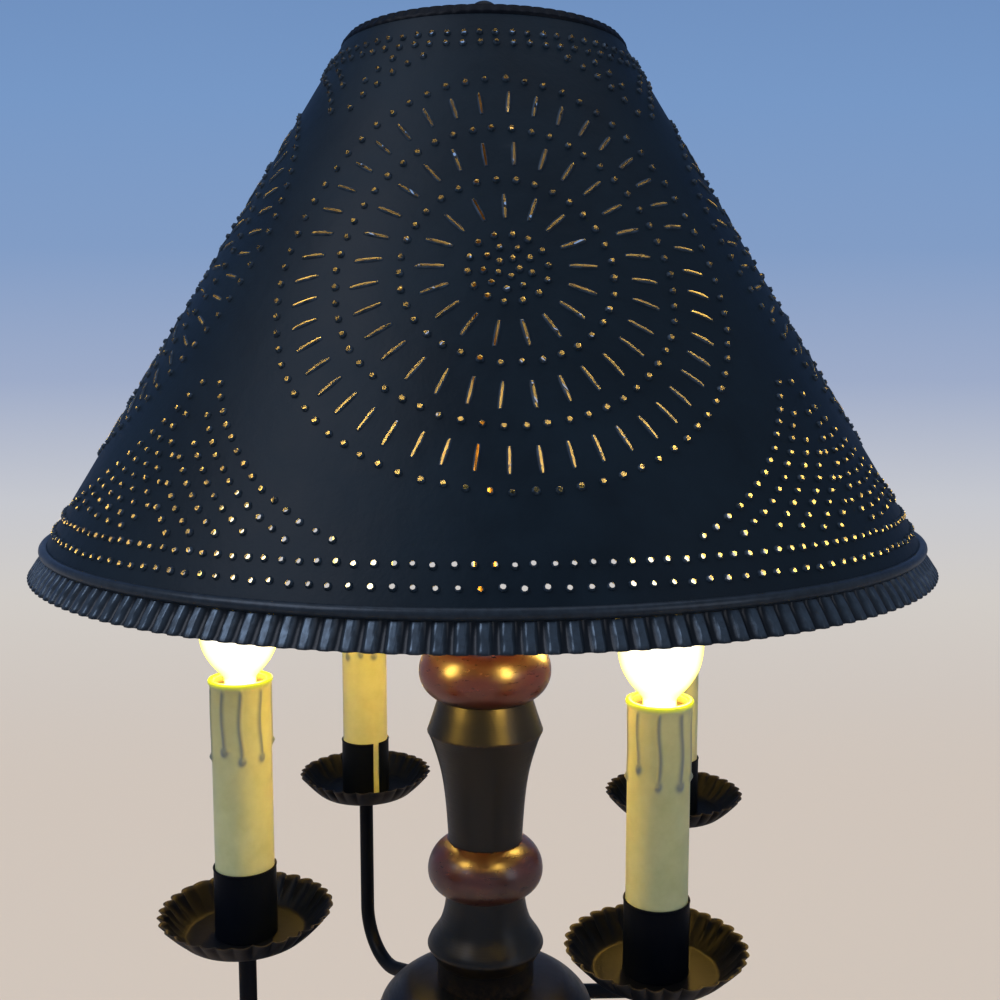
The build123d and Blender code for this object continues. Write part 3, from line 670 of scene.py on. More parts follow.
@dataclass
class Column:
    """The stack of turnings from the foot to the cap."""

    ball_height: float = 49.5
    ball_radius: float = 50.3
    ball_half: tuple[tuple[float, float], ...] = (
        (50.2, 5.0), (50.02, 9.25), (49.2, 12.0), (48.03, 14.25), (45.32, 17.25), (42.89, 19.25), (39.96, 21.25),
        (37.0, 22.75), (33.23, 23.75), (27.45, 24.45), (24.0, 24.75))
    skirt_height: float = 42.5
    lower_bead_height: float = 24.4
    vase_height: float = 66.9
    upper_bead_height: float = 27.2
    foot_radius: float = 92.0
    foot_z: float = 2.0
    foot_round: float = 6.5
    foot_chamfer: float = 1.6
    cove_radius: float = 55.8

    @staticmethod
    def bead(foot: float, belly: float, top: float, low: float, rise: float, height: float) -> np.ndarray:
        """Side of a bead: two circular arcs that meet upright at the belly. An arc that leaves the belly upright,
        and runs dx in and dz along, has the radius (dx squared + dz squared) / 2dx and turns by twice its chord's
        angle.

        Args:
            foot: Radius at the low end.
            belly: Largest radius.
            top: Radius at the high end.
            low: Height of the low end.
            rise: From the low end to the belly.
            height: From end to end.

        Returns:
            The side as radius and height, upwards.
        """
        def half(end: float, reach: float) -> np.ndarray:
            """One arc, from the belly to its end."""
            inward = belly - end
            radius = (inward ** 2 + reach ** 2) / (2 * inward)
            a = np.linspace(0, 2 * math.atan2(inward, abs(reach)), 20)
            along = math.copysign(1, reach) * radius * np.sin(a)
            return np.stack([belly - radius * (1 - np.cos(a)), low + rise + along], 1)

        return np.vstack([half(foot, -rise)[::-1], half(top, height - rise)[1:]])

    def build(self) -> None:
        """Make every turning from the foot upwards."""
        top = BALL_Z + self.ball_height
        skirt_top = top + self.skirt_height
        bead_top = skirt_top + self.lower_bead_height
        vase_top = bead_top + self.vase_height
        upper_top = vase_top + self.upper_bead_height
        over, under, cove_radius = self.foot_round, self.foot_chamfer, self.cove_radius
        round_over = arc(0, 90, (over, over), (self.foot_radius - over, 22.0), 9)
        chamfer = arc(-90, 0, (under, under), (self.foot_radius - under, self.foot_z + under), 5)
        cove = arc(-90, -35.4, (cove_radius, cove_radius), (0, 0), 22)
        cove = np.stack([82.5 - cove[:, 0], 28.5 + cove_radius + cove[:, 1]], 1)
        foot = np.vstack([chamfer, round_over, [[82.9, 28.5]], cove, [[37.0, 51.6], [36.6, 52.0]]])
        pedestal = smooth_line([(25.0, 66.0), (21.2, 70.4), (19.5, 76.0), (21.2, 81.6), (25.0, 86.0)], 7)
        half = np.array(self.ball_half)
        ball = np.vstack([half[::-1] * [1, -1], [[self.ball_radius, 0.0]], half]) + [0, BALL_Z + self.ball_height / 2]
        edge = np.array([(22.4, 0.0), (22.4, 10.3), (22.6, 10.6), (23.1, 10.7), (23.4, 11.0),
                         (26.6, 16.6), (26.85, 17.1), (26.85, 17.6), (26.7, 18.0)])
        hollow = np.array([(26.4, 18.6), (25.5, 20.5), (21.9, 25.9), (20.3, 29.5), (19.0, 34.3), (18.3, 39.5)])
        skirt = np.vstack([edge + [0, top], smooth_line([*(hollow + [0, top]), (18.2, skirt_top)], 7)])
        flare = np.array([(17.0, 0.0), (17.3, 6.0), (18.2, 18.1), (19.5, 28.6), (21.3, 37.1), (24.2, 46.6),
                          (25.9, 50.9)])
        collar = np.array([(26.3, 51.5), (26.4, 52.0), (26.2, 52.5), (24.0, 58.9)])
        vase = np.vstack([smooth_line(flare + [0, bead_top], 7), collar + [0, bead_top],
                          [[21.8, vase_top - 1.0], [21.4, vase_top]]])
        cap = np.vstack([[[18.1, upper_top], [18.5, upper_top + 0.5]],
                         arc(0, 72, (6.2, 6.8), (12.3, upper_top + 5.6), 12), [[12.5, upper_top + 12.5]]])
        for turning in (
                Turning("foot", foot, segments=192),
                Turning("foot_bead", self.bead(28.0, 33.0, 28.0, 52.0, 7.0, 14.0), Finish.RED_WOOD),
                Turning("pedestal", pedestal),
                Turning("ball_body", smooth_line(ball, 4), segments=192),
                Turning("skirt_turning", skirt),
                Turning("lower_bead", self.bead(17.0, 26.5, 16.8, skirt_top, 10.5, self.lower_bead_height),
                        Finish.RED_WOOD),
                Turning("vase_turning", vase),
                Turning("upper_bead", self.bead(21.0, 30.0, 20.0, vase_top, 12.7, self.upper_bead_height),
                        Finish.RED_WOOD),
                Turning("column_cap", cap)):
            turning.build()


# Arms and candles

@dataclass
class Arm:
    """One bent tube arm with its drip pan, candle cup and wax cover."""

    number: int
    angle: float
    tube_radius: float = 3.6
    bore: float = 2.0
    low: float = 100.0
    bend: float = 24.0
    slope: float = 17.0
    inner_end: float = 16.0
    pan_floor_radius: float = 24.0
    pan_rim_radius: float = 34.7
    pan_depth: float = 10.2
    flutes: int = 30
    flute_depth: float = 2.6
    cup_height: float = 28.5
    cup_seam: float = 3.5
    cover_radius: float = 11.75
    cover_wall: float = 1.6
    run_count: int = 9
    run_thickness: float = 0.5
    drop_thickness: float = 1.2
    lip_thickness: float = 0.9

    def centreline(self) -> np.ndarray:
        """Straight run, bend and upright run as radius and height."""
        a = math.radians(self.slope)
        cx, cz = CANDLE_RADIUS - self.bend, self.low + self.bend
        bend = arc(-90 - self.slope, 0, (self.bend, self.bend), (cx, cz), 26)
        first = bend[0]
        run = np.linspace(self.inner_end, first[0], 10)[:-1]
        slope = np.stack([run, first[1] + (first[0] - run) * math.tan(a)], 1)
        rise = np.stack([np.full(8, CANDLE_RADIUS), np.linspace(cz, CUP_FLOOR + 12, 9)[1:]], 1)
        return np.vstack([slope, bend, rise])

    def tube(self) -> None:
        """Carry a ring along the centreline: each ring lies across the line's direction there."""
        line = self.centreline()
        along = np.gradient(line, axis=0)
        along /= np.linalg.norm(along, axis=1, keepdims=True)
        across = np.stack([along[:, 1], -along[:, 0]], 1)
        cols = 24
        turn = np.linspace(0, 2 * np.pi, cols, endpoint=False)

        def ring(radius: float) -> np.ndarray:
            """Rings of one radius along the line."""
            side = across[:, None, :] * (radius * np.cos(turn))[None, :, None]
            deep = radius * np.sin(turn)[None, :] * np.ones((len(line), 1))
            flat = line[:, None, :] + side
            return np.stack([flat[..., 0] - CANDLE_RADIUS, deep, flat[..., 1]], -1)

        points = np.concatenate([ring(self.tube_radius), ring(self.bore)[::-1]]).reshape(-1, 3)
        quads = grid_quads(2 * len(line), cols, wrap_rows=True)
        write_piece(f"arm_{self.number}", place(points, self.angle), [quads], Finish.BLACK_METAL, "root",
                    [f"arm_tube_{self.number}"])

    def pan(self) -> None:
        """Drip pan: a flat floor and a flared wall whose flutes deepen towards a scalloped rim. The wall's radius
        loses flute depth times one minus the lobe wave, and the wave is the sine of half the flute angle."""
        floor, rim = self.pan_floor_radius, self.pan_rim_radius
        under = PAN_UNDER
        cols = self.flutes * 10
        rise = np.array([0.0, 0.06, 0.16, 0.32, 0.5, 0.68, 0.84, 0.95, 1.0])
        outer = np.stack([floor + (rim - floor) * (rise ** 0.9), under + self.pan_depth * rise ** 1.08], 1)
        inner = outer + np.array([-0.45, 0.5])
        inner[-1] = outer[-1] + [-0.5, 0.1]
        hole = self.tube_radius + 0.05
        flat_low = [(hole, under), (10.0, under), (19.0, under), (22.6, under)]
        flat_high = [(22.4, under + 0.6), (19.0, under + 0.6), (10.0, under + 0.6), (hole, under + 0.6)]
        lip = [(rim + 0.25, under + self.pan_depth + 0.25)]
        outline = np.vstack([flat_low, outer, lip, inner[::-1], flat_high])
        depth = np.interp(outline[:, 1], [under + 0.6, under + self.pan_depth], [0.0, self.flute_depth])
        depth[outline[:, 0] < floor - 0.6] = 0

        def flute(turn: np.ndarray, row: np.ndarray) -> np.ndarray:
            """Radial offset of the flutes."""
            uneven = 0.75 + 0.25 * np.sin(3 * turn + self.number) + 0.2 * np.sin(11 * turn + 2 * self.number)
            lobe = np.abs(np.sin(self.flutes * turn / 2 + 0.3 * np.sin(5 * turn + self.number))) ** 0.75
            return -depth[row.astype(int)] * uneven * (1 - lobe)

        points, quads = revolve(outline, cols, push=flute)
        wear_and_sheen = np.repeat(np.clip((outline[:, 1] - under - self.pan_depth + 1.2) / 1.4, 0, 1) * 0.6, cols)
        piece = write_piece(f"pan_{self.number}", place(points, self.angle), [quads], Finish.BLACK_METAL, "root",
                            [f"drip_pan_{self.number}"], wear_and_sheen)
        crease(piece, 50)

    def cup(self) -> None:
        """Candle cup: a strip bent round the cover with a gap towards the column and a rolled upper edge."""
        bore, sheet = self.cover_radius + 0.12, 0.6
        low, high = PAN_UNDER + 0.6, PAN_UNDER + 0.6 + self.cup_height
        roll = arc(-50, 190, (0.42, 0.42), (bore + sheet - 0.2, high - 0.45), 10)
        outline = np.vstack([[[bore, low], [bore + sheet, low], [bore + sheet + 0.15, low + 0.4],
                              [bore + sheet, low + 1.0], [bore + sheet, high - 6], [bore + sheet, high - 1.2]],
                             roll, [[bore, high - 1.2], [bore, high - 6]]])
        half = self.cup_seam / 2 / bore
        turn = np.linspace(-np.pi + half, np.pi - half, 72)
        ring = np.stack([outline[:, None, 0] * np.cos(turn), outline[:, None, 0] * np.sin(turn),
                         outline[:, None, 1] * np.ones_like(turn)], -1)
        rows, cols = ring.shape[:2]
        quads = grid_quads(rows, cols, wrap_rows=True, wrap_cols=False)
        first = (np.arange(rows) * cols)[None, :]
        last = first[:, ::-1] + cols - 1
        piece = write_piece(f"cup_{self.number}", place(ring.reshape(-1, 3), self.angle), [quads, first, last],
                            Finish.BLACK_METAL, "root", [f"candle_cup_{self.number}"])
        crease(piece, 45)

    def cover(self) -> None:
        """Wax cover: a tube whose outside swells into a lip and runs. A run is a bell across the angle, held to
        its length, with a drop at its end. Inside it is plain card."""
        rng = np.random.default_rng(40 + self.number)
        rows_up, cols = 150, 216
        bore = self.cover_radius - self.cover_wall
        height = np.linspace(CUP_FLOOR, COVER_TOP - 0.6, rows_up)
        outer = np.stack([np.full(rows_up, self.cover_radius), height], 1)
        top = np.array([[self.cover_radius - 0.2, COVER_TOP - 0.1], [self.cover_radius - 0.8, COVER_TOP],
                        [bore + 0.5, COVER_TOP - 0.1], [bore, COVER_TOP - 0.7]])
        inside = np.array([[bore, COVER_TOP - 6], [bore, COVER_TOP - 20], [bore, CUP_FLOOR]])
        outline = np.vstack([outer, top, inside])
        count = self.run_count
        spots = (np.arange(count) + 0.25 * self.number) * 2 * np.pi / count + rng.uniform(-0.07, 0.07, count)
        lengths = rng.uniform(24, 31, count)
        widths = rng.uniform(0.6, 1.05, count)

        def runs(turn: np.ndarray, row: np.ndarray) -> np.ndarray:
            """Thickness of lip, runs and drops over the bare tube."""
            z = outline[row.astype(int), 1]
            down = COVER_TOP - z
            grown = self.lip_thickness * np.exp(-np.clip(down - 1.3, 0, None) ** 2 / 0.5)
            for spot, length, width in zip(spots, lengths, widths):
                off = np.angle(np.exp(1j * (turn - spot))) * self.cover_radius + 0.45 * np.sin(down / 4.2 + 9 * spot)
                body = self.run_thickness * np.exp(-(off / width) ** 2) / (1 + np.exp((down - length) * 2.0))
                drop = self.drop_thickness * np.exp(-(off / (width * 1.45)) ** 2 - ((down - length) / 1.6) ** 2)
                web = 0.6 * np.exp(-(off / (width * 2.2)) ** 2 - (down / 2.6) ** 2)
                for part in (body, drop, web):
                    grown = np.maximum(grown, part)
            return np.where(row < rows_up + 2, grown, 0.0)

        points, quads = revolve(outline, cols, push=runs)
        grown = np.hypot(points[:, 0], points[:, 1]) - np.repeat(outline[:, 0], cols)
        below = np.clip((COVER_TOP - 2.2 - points[:, 2]) / 1.5, 0, 1)
        # Runs, drops and the lip below the top take the run tone: partly the wax's own, partly painted shade.
        dull = np.clip(grown / 0.45, 0, 1) * below
        inside_quads = (len(outline) - rows_up - 3) * cols
        write_piece(f"cover_{self.number}", place(points, self.angle), [quads], Finish.WAX, "root",
                    [f"candle_cover_{self.number}"], dull, Finish.CARD, inside_quads)

    def build(self) -> None:
        """Make the arm and what stands on it."""
        self.tube()
        self.pan()
        self.cup()
        self.cover()


@dataclass
class Bulb:
    """One frosted torpedo bulb, blown with a wide belly and a blunt tip."""

    number: int
    angle: float
    bottom: float = 293.6
    side: tuple[tuple[float, float], ...] = (
        (6.2, 0.0), (6.2, 1.5), (6.5, 3.1), (8.2, 5.2), (11.0, 8.4), (13.3, 12.0), (14.9, 16.0), (15.8, 21.5),
        (16.0, 29.0), (15.6, 37.0), (14.2, 46.0), (11.4, 56.0), (7.9, 65.5), (4.4, 72.8), (1.7, 77.0), (0.02, 78.0))
    segments: int = 64

    def build(self) -> None:
        """Turn the bulb's section and close it at the tip and at the neck."""
        outline = np.vstack([[[0.02, 0.0]], smooth_line(self.side, 6)]) + [0.0, self.bottom]
        points, faces = revolve_capped(outline, self.segments)
        write_piece(f"bulb_{self.number}", place(points, self.angle), faces, Finish.BULB, f"bulb_{self.number}",
                    [f"bulb_glass_{self.number}"])


# Shade

@dataclass(frozen=True)
class Mark:
    """One kind of punch mark: the outline that its burr stands on, and the opening at the burr's crest.

    Half_wide and rise are half the outline's width and how far the burr stands out. Open_long and open_wide are
    the shares of its length and width that stay open. A low flatness squares off its ends.
    """

    half_wide: float
    corners: int
    rise: float
    open_long: float
    open_wide: float
    flatness: float = 1.0


class Punch(Enum):
    """The two punches that the pattern is made with."""

    DOT = Mark(1.5, 8, 1.1, 0.57, 0.57)
    SLIT = Mark(1.1, 12, 0.7, 0.93, 0.38, 0.38)


@dataclass
class PiercedShade:
    """Tin cone with its punched pattern, crown strip, rolled bead and ribbed flange."""

    rim_radius: float = 190.5
    top_radius: float = 58.0
    height: float = 218.5
    sheet: float = 0.6
    turn: float = 15.1
    medallion_height: float = 135.0
    bead_radius: float = 2.1
    flange_height: float = 8.6
    flange_flare: float = 5.6
    crown_height: float = 3.8
    ribs: int = 176
    rib_depth: float = 1.9
    crown_ribs: int = 72
    crown_rib_depth: float = 0.75
    dot_rings: tuple[tuple[float, int], ...] = ((3.8, 5), (8.5, 9), (13.8, 14), (36.9, 34), (60.1, 54), (83.1, 72))
    slit_rings: tuple[tuple[float, float, int], ...] = ((21.0, 31.0, 17), (44.0, 54.0, 30), (67.3, 76.8, 46))
    arc_height: float = 130.0
    arc_start: float = 107.0
    arc_pitch: float = 6.9
    arc_end: float = 320.0
    arc_clear: float = 2.2
    rows: tuple[tuple[float, int], ...] = ((27.9, 184), (20.5, 172), (236.0, 68), (241.1, 68))
    net_pitch: float = 7.0
    net_clear: float = 3.1
    half_slit: float = 3.2
    seed: int = 7

    def __post_init__(self) -> None:
        """Work out the slant, the share of the full turn that the flat sheet opens to, the sheet's whole turn and
        where on it the seam lies."""
        self.slant = math.hypot(self.height, self.rim_radius - self.top_radius)
        self.opening = (self.rim_radius - self.top_radius) / self.slant
        self.flat_rim = self.rim_radius / self.opening
        self.lean = self.height / self.slant
        self.full = 2 * np.pi * self.opening
        self.seam = math.radians(self.turn + 135) * self.opening - 2 * np.pi * self.opening

    def fold(self, flat: np.ndarray, out: np.ndarray) -> np.ndarray:
        """Fold places on the flat sheet into the cone.

        Args:
            flat: Places as turn on the sheet and distance from the sheet's apex.
            out: Height over the sheet's outside.

        Returns:
            Places in the lamp's frame: the radius is the distance times the opening, plus the height along the
            outward normal, and the azimuth is the sheet's turn over the opening.
        """
        azimuth = flat[:, 0] / self.opening
        radius = flat[:, 1] * self.opening + out * self.lean
        z = RIM_Z + (self.flat_rim - flat[:, 1]) * self.lean + out * self.opening
        return np.stack([radius * np.sin(azimuth), -radius * np.cos(azimuth), z], axis=1)

    def polar(self, flat: np.ndarray) -> np.ndarray:
        """Turn x and y on the flat sheet into the turn from the seam and the apex distance."""
        turn = np.arctan2(flat[..., 0], -flat[..., 1])
        return np.stack([np.mod(turn - self.seam, self.full), np.hypot(flat[..., 0], flat[..., 1])], -1)

    def corner_dots(self) -> list[np.ndarray]:
        """Dots in the corners between two medallions: arcs of one pitch round each medallion's own middle.

        Each arc starts where it meets the line between two quarters and is stepped off from there, inwards, until
        it leaves its half of the quarter or meets the rows along the edges.

        Returns:
            Places on the flat sheet, as x and y, for the quarter in front.
        """
        quarter = math.pi / 2 * self.opening
        reach = self.flat_rim - self.arc_height
        low, high = self.flat_rim - self.rows[0][0] - 5.0, self.flat_rim - self.rows[2][0] + 4.0
        t = np.linspace(-np.pi, np.pi, 40000)
        found: list[np.ndarray] = []
        radius = self.arc_start
        while radius < self.arc_end:
            step = self.arc_pitch * 0.97 / radius
            x, y = radius * np.cos(t), radius * np.sin(t) - reach
            turn = np.arctan2(x, -y)
            for side in (-1.0, 1.0):
                for crossing in np.flatnonzero(np.diff(np.sign(turn * side - quarter / 2)) != 0):
                    if abs(turn[crossing] * side - quarter / 2) > 0.1 or y[crossing] > 0:
                        continue
                    inward = -1.0 if abs(turn[crossing + 1]) > abs(turn[crossing]) else 1.0
                    along = t[crossing] + inward * step * (np.arange(60) + 0.5)
                    px, py = radius * np.cos(along), radius * np.sin(along) - reach
                    rho, th = np.hypot(px, py), np.arctan2(px, -py)
                    clear = self.arc_clear / rho
                    inside = (np.abs(th) < quarter / 2 - clear) & (th * side > clear) & (rho < low) & (rho > high)
                    begun = np.cumsum(inside) > 0
                    found.append(np.stack([px, py], 1)[inside & (np.cumsum(begun & ~inside) == 0)])
            radius += self.arc_pitch
        return found

    def marks(self) -> tuple[np.ndarray, np.ndarray]:
        """Lay out every punch mark on the flat sheet: four medallions with their corners, and the edge rows.

        Returns:
            Dots as rows of x and y, and slits as rows of x, y, direction and length. The sheet's apex is at the
            origin and its lowest point at minus the apex distance in y.
        """
        quarter = math.pi / 2 * self.opening
        reach = self.flat_rim - self.medallion_height
        dots: list[np.ndarray] = []
        slits: list[np.ndarray] = []
        for radius, count in self.dot_rings:
            t = np.arange(count) * 2 * np.pi / count + 0.3 * radius
            dots.append(np.stack([radius * np.cos(t), radius * np.sin(t) - reach], 1))
        for inner, outer, count in self.slit_rings:
            t = np.arange(count) * 2 * np.pi / count + 0.11 * inner
            middle, length = (inner + outer) / 2, np.full(count, outer - inner)
            slits.append(np.stack([middle * np.cos(t), middle * np.sin(t) - reach, t, length], 1))
        spread = np.vstack(dots + self.corner_dots())
        cut = np.vstack(slits)
        all_dots, all_slits = [], []
        for k in range(4):
            t = math.radians(self.turn) * self.opening + k * quarter
            spin = np.array([[math.cos(t), math.sin(t)], [-math.sin(t), math.cos(t)]])
            all_dots.append(spread @ spin)
            all_slits.append(np.column_stack([cut[:, :2] @ spin, cut[:, 2] + t, cut[:, 3]]))
        for s, count in self.rows:
            t = (np.arange(count) + 0.5) * 4 * quarter / count + math.radians(self.turn - 225) * self.opening
            rho = self.flat_rim - s
            all_dots.append(np.stack([rho * np.sin(t), -rho * np.cos(t)], 1))
        return np.vstack(all_dots), np.vstack(all_slits)

    def outlines(self, punch: Punch, centre: np.ndarray, direction: np.ndarray, length: np.ndarray,
                 rng: np.random.Generator) -> tuple[np.ndarray, np.ndarray, np.ndarray]:
        """Outline every mark of one punch, each a little uneven.

        Args:
            punch: The kind of mark.
            centre: Places on the flat sheet, as x and y.
            direction: Which way each mark points.
            length: Each slit's length.
            rng: The shade's random draws.

        Returns:
            Outlines on the sheet and at the burr's crest, as arrays of mark, corner and x, y, and the crest's
            height over the sheet.
        """
        mark, count, slit = punch.value, len(centre), punch is Punch.SLIT
        phase = 0.0 if slit else rng.uniform(0, 2 * np.pi, count)[:, None]
        t = (np.arange(mark.corners)[None, :] + (0.5 if slit else 0.0)) * 2 * np.pi / mark.corners + phase
        grow = 1 + rng.uniform(-0.09, 0.09, (count, 1))
        longest = length[:, None] / 2 + 0.5 if slit else mark.half_wide * grow
        sine = np.sin(t)
        u, v = longest * np.cos(t), mark.half_wide * grow * np.sign(sine) * np.abs(sine) ** mark.flatness
        ragged = 1 + rng.uniform(-0.10, 0.10, (count, mark.corners))
        lift = mark.rise * rng.uniform(0.75, 1.2, (count, mark.corners))
        if slit:
            lift = lift * (0.35 + 0.65 * np.abs(sine))
        c, s = np.cos(direction)[:, None], np.sin(direction)[:, None]

        def on_sheet(along: np.ndarray, across: np.ndarray) -> np.ndarray:
            """Carry places from the marks' own axes to the sheet."""
            return np.stack([centre[:, :1] + along * c - across * s, centre[:, 1:] + along * s + across * c], -1)

        return on_sheet(u, v), on_sheet(u * mark.open_long, v * mark.open_wide * ragged), lift

    def build(self) -> None:
        """Make the four parts of the shade."""
        self.cone()
        self.crown()
        self.bead()
        self.flange()

    def loose_points(self, centres: np.ndarray) -> tuple[np.ndarray, list[np.ndarray]]:
        """Even points between the marks, which let the sheet bend smoothly, and along its edges.

        Args:
            centres: Places that they keep clear of, in polar form.

        Returns:
            The points in polar form, and the numbers of those along the upper and the lower edge.
        """
        low = self.flat_rim - (self.flange_height + self.bead_radius) / self.lean
        high = self.flat_rim - (self.height - self.crown_height) / self.lean
        rho = np.exp(np.linspace(math.log(high), math.log(low), int((low - high) / self.net_pitch)))
        cols = int(self.full * 0.5 * (low + high) / self.net_pitch * 1.25)
        turn = np.linspace(0, self.full, cols + 1)
        grid = np.stack(np.meshgrid(turn, rho, indexing="ij"), -1)
        keep = np.ones(grid.shape[:2], bool)
        for column in range(1, cols):
            gap = np.hypot((centres[:, :1] - turn[column]) * rho, centres[:, 1:] - rho)
            keep[column] = gap.min(0) > self.net_clear
        keep[:, 0] = keep[:, -1] = True
        numbers = np.cumsum(keep).reshape(keep.shape) - 1
        return grid[keep], [numbers[:, 0], numbers[:, -1]]

    def net(self, corners: np.ndarray, owner: np.ndarray, edges: np.ndarray,
            loose: np.ndarray) -> tuple[np.ndarray, np.ndarray, np.ndarray]:
        """Cut the sheet round every mark.

        It is cut in the plane of (turn, log of apex distance), where small outlines keep their shape, so one
        Delaunay net with the outlines as fixed edges gives even triangles. A triangle with all its corners on
        one outline lies in a hole and is dropped. The sheet's two ends are joined at the seam.

        Args:
            corners: Corners of the outlines in polar form.
            owner: Which outline each corner is on.
            edges: Pairs of corners that an outline joins.
            loose: Further points in polar form.

        Returns:
            The net's points in polar form, its triangles, and which point stands for each corner or loose point.
        """
        flat = np.vstack([corners, loose])
        log_flat = np.stack([flat[:, 0], np.log(flat[:, 1])], 1)
        made = delaunay_2d_cdt(log_flat.tolist(), edges.tolist(), [], 0, 1e-7)
        points, triangles = np.array([tuple(p) for p in made[0]]), np.array(made[2])
        source = np.array([ids[0] if ids else -1 for ids in made[3]])
        LOG.info("net: %d points in, %d out, %d triangles", len(flat), len(points), len(triangles))
        known = np.where((source >= 0) & (source < len(corners)), owner[np.clip(source, 0, len(corners) - 1)], -1)
        on = known[triangles]
        in_hole = (on[:, 0] >= 0) & (on[:, 0] == on[:, 1]) & (on[:, 1] == on[:, 2])
        where = np.stack([points[:, 0], np.exp(points[:, 1])], 1)
        ends = [np.flatnonzero(np.abs(where[:, 0] - end) < 1e-6) for end in (0.0, self.full)]
        first, last = (ids[np.argsort(where[ids, 1])] for ids in ends)
        merge = np.arange(len(where))
        merge[last] = first
        stands_for = np.full(len(flat), -1)
        stands_for[source[source >= 0]] = np.flatnonzero(source >= 0)
        return where, merge[triangles[~in_hole][:, ::-1]], merge[stands_for]

    def cone(self) -> None:
        """Cut the sheet round every mark, pull each rim out into a burr and fold the sheet. Its two faces are the
        same net, and a burr runs from the outer net to its crest and back down to the inner net."""
        rng = np.random.default_rng(self.seed)
        dots, slits = self.marks()
        dots = dots + np.clip(rng.normal(0, 0.2, dots.shape), -0.35, 0.35)
        slit_way = slits[:, 2] + rng.normal(0, 0.03, len(slits))
        slit_at = slits[:, :2] + rng.normal(0, 0.2, (len(slits), 2))
        groups = [self.outlines(Punch.DOT, dots, np.zeros(len(dots)), np.zeros(len(dots)), rng),
                  self.outlines(Punch.SLIT, slit_at, slit_way, slits[:, 3], rng)]
        base, crest = (np.concatenate([self.polar(group[k]).reshape(-1, 2) for group in groups]) for k in (0, 1))
        lift = np.concatenate([group[2].ravel() for group in groups])
        sizes = np.concatenate([np.full(len(group[0]), group[0].shape[1]) for group in groups])
        firsts = np.concatenate([[0], np.cumsum(sizes)[:-1]])
        owner = np.repeat(np.arange(len(sizes)), sizes)
        order = np.arange(len(base))
        following = np.where(order + 1 < firsts[owner] + sizes[owner], order + 1, firsts[owner])

        half = self.half_slit * np.stack([np.cos(slit_way), np.sin(slit_way)], 1)
        loose, rims = self.loose_points(self.polar(np.vstack([dots, slit_at, slit_at + half, slit_at - half])))
        LOG.info("sheet: %d dots, %d slits, %d loose points", len(dots), len(slits), len(loose))
        where, triangles, stands_for = self.net(base, owner, np.stack([order, following], 1), loose)
        total = len(where)
        shift = np.array([self.seam, 0.0])
        points = np.vstack([self.fold(where + shift, np.zeros(total)),
                            self.fold(where + shift, np.full(total, -self.sheet)), self.fold(crest + shift, lift)])
        here, beyond = stands_for[order], stands_for[following]
        top, top_beyond = order + 2 * total, following + 2 * total
        burr = np.stack([here, beyond, top_beyond, top], 1)
        throat = np.stack([top, top_beyond, beyond + total, here + total], 1)
        flipped = triangles[:, ::-1] + total
        upper, lower = (stands_for[numbers + len(base)] for numbers in rims)
        edges = [np.stack([a, b, b + total, a + total], 1)
                 for a, b in ((upper[:-1], upper[1:]), (lower[1:], lower[:-1]))]
        # Burr crests get a random share of the lighter metal: partly rubbing of the paint, partly painted glints.
        wear_and_sheen = np.concatenate([np.zeros(2 * total), rng.uniform(0.2, 0.8, len(crest))])
        piece = write_piece("tin_cone", points, [triangles, burr, *edges, throat, flipped], Finish.TIN, "shade",
                            ["shade_cone"], wear_and_sheen, Finish.INNER_TIN, len(throat) + len(flipped))
        crease(piece, 30)

    def crown(self) -> None:
        """Ribbed strip round the top: a sleeve whose radius follows a rounded rib wave."""
        top = RIM_Z + self.height
        low = top - self.crown_height
        high_radius = self.top_radius
        radius = high_radius + self.crown_height * self.opening / self.lean
        outline = np.array([[radius - 0.5, low - 0.3], [radius + 0.3, low - 0.3], [radius + 0.4, low + 0.5],
                            [radius + 0.1, low + 1.2], [high_radius + 0.6, top - 0.5], [high_radius + 0.3, top],
                            [high_radius - 0.2, top - 0.1], [radius - 0.7, low + 1.2]])
        weight = np.clip((outline[:, 1] - low) / 2.4, 0, 1)

        def ribs(turn: np.ndarray, row: np.ndarray) -> np.ndarray:
            """Radial offset of the crown's ribs."""
            wave = np.abs(np.sin(self.crown_ribs * turn / 2)) ** 0.7
            return weight[row.astype(int)] * self.crown_rib_depth * (wave - 1)

        points, quads = revolve(outline, self.crown_ribs * 8, push=ribs)
        piece = write_piece("tin_crown", points, [quads], Finish.BLACK_METAL, "shade", ["shade_crown"])
        crease(piece, 50)

    def bead(self) -> None:
        """Rolled bead: a ring swept round the rim."""
        z = RIM_Z + self.flange_height + self.bead_radius
        radius = self.rim_radius - (z - RIM_Z) * self.opening / self.lean
        outline = arc(0, 360, (self.bead_radius, self.bead_radius), (radius, z), 17)[:-1]
        points, quads = revolve(outline, 360)
        # Painted sheen: the whole bead takes an even share of the lighter ribbed-tin metal for its lit band.
        wear_and_sheen = np.full(len(points), 0.35)
        write_piece("tin_bead", points, [quads], Finish.RIBBED_TIN, "shade", ["shade_bead"], wear_and_sheen)

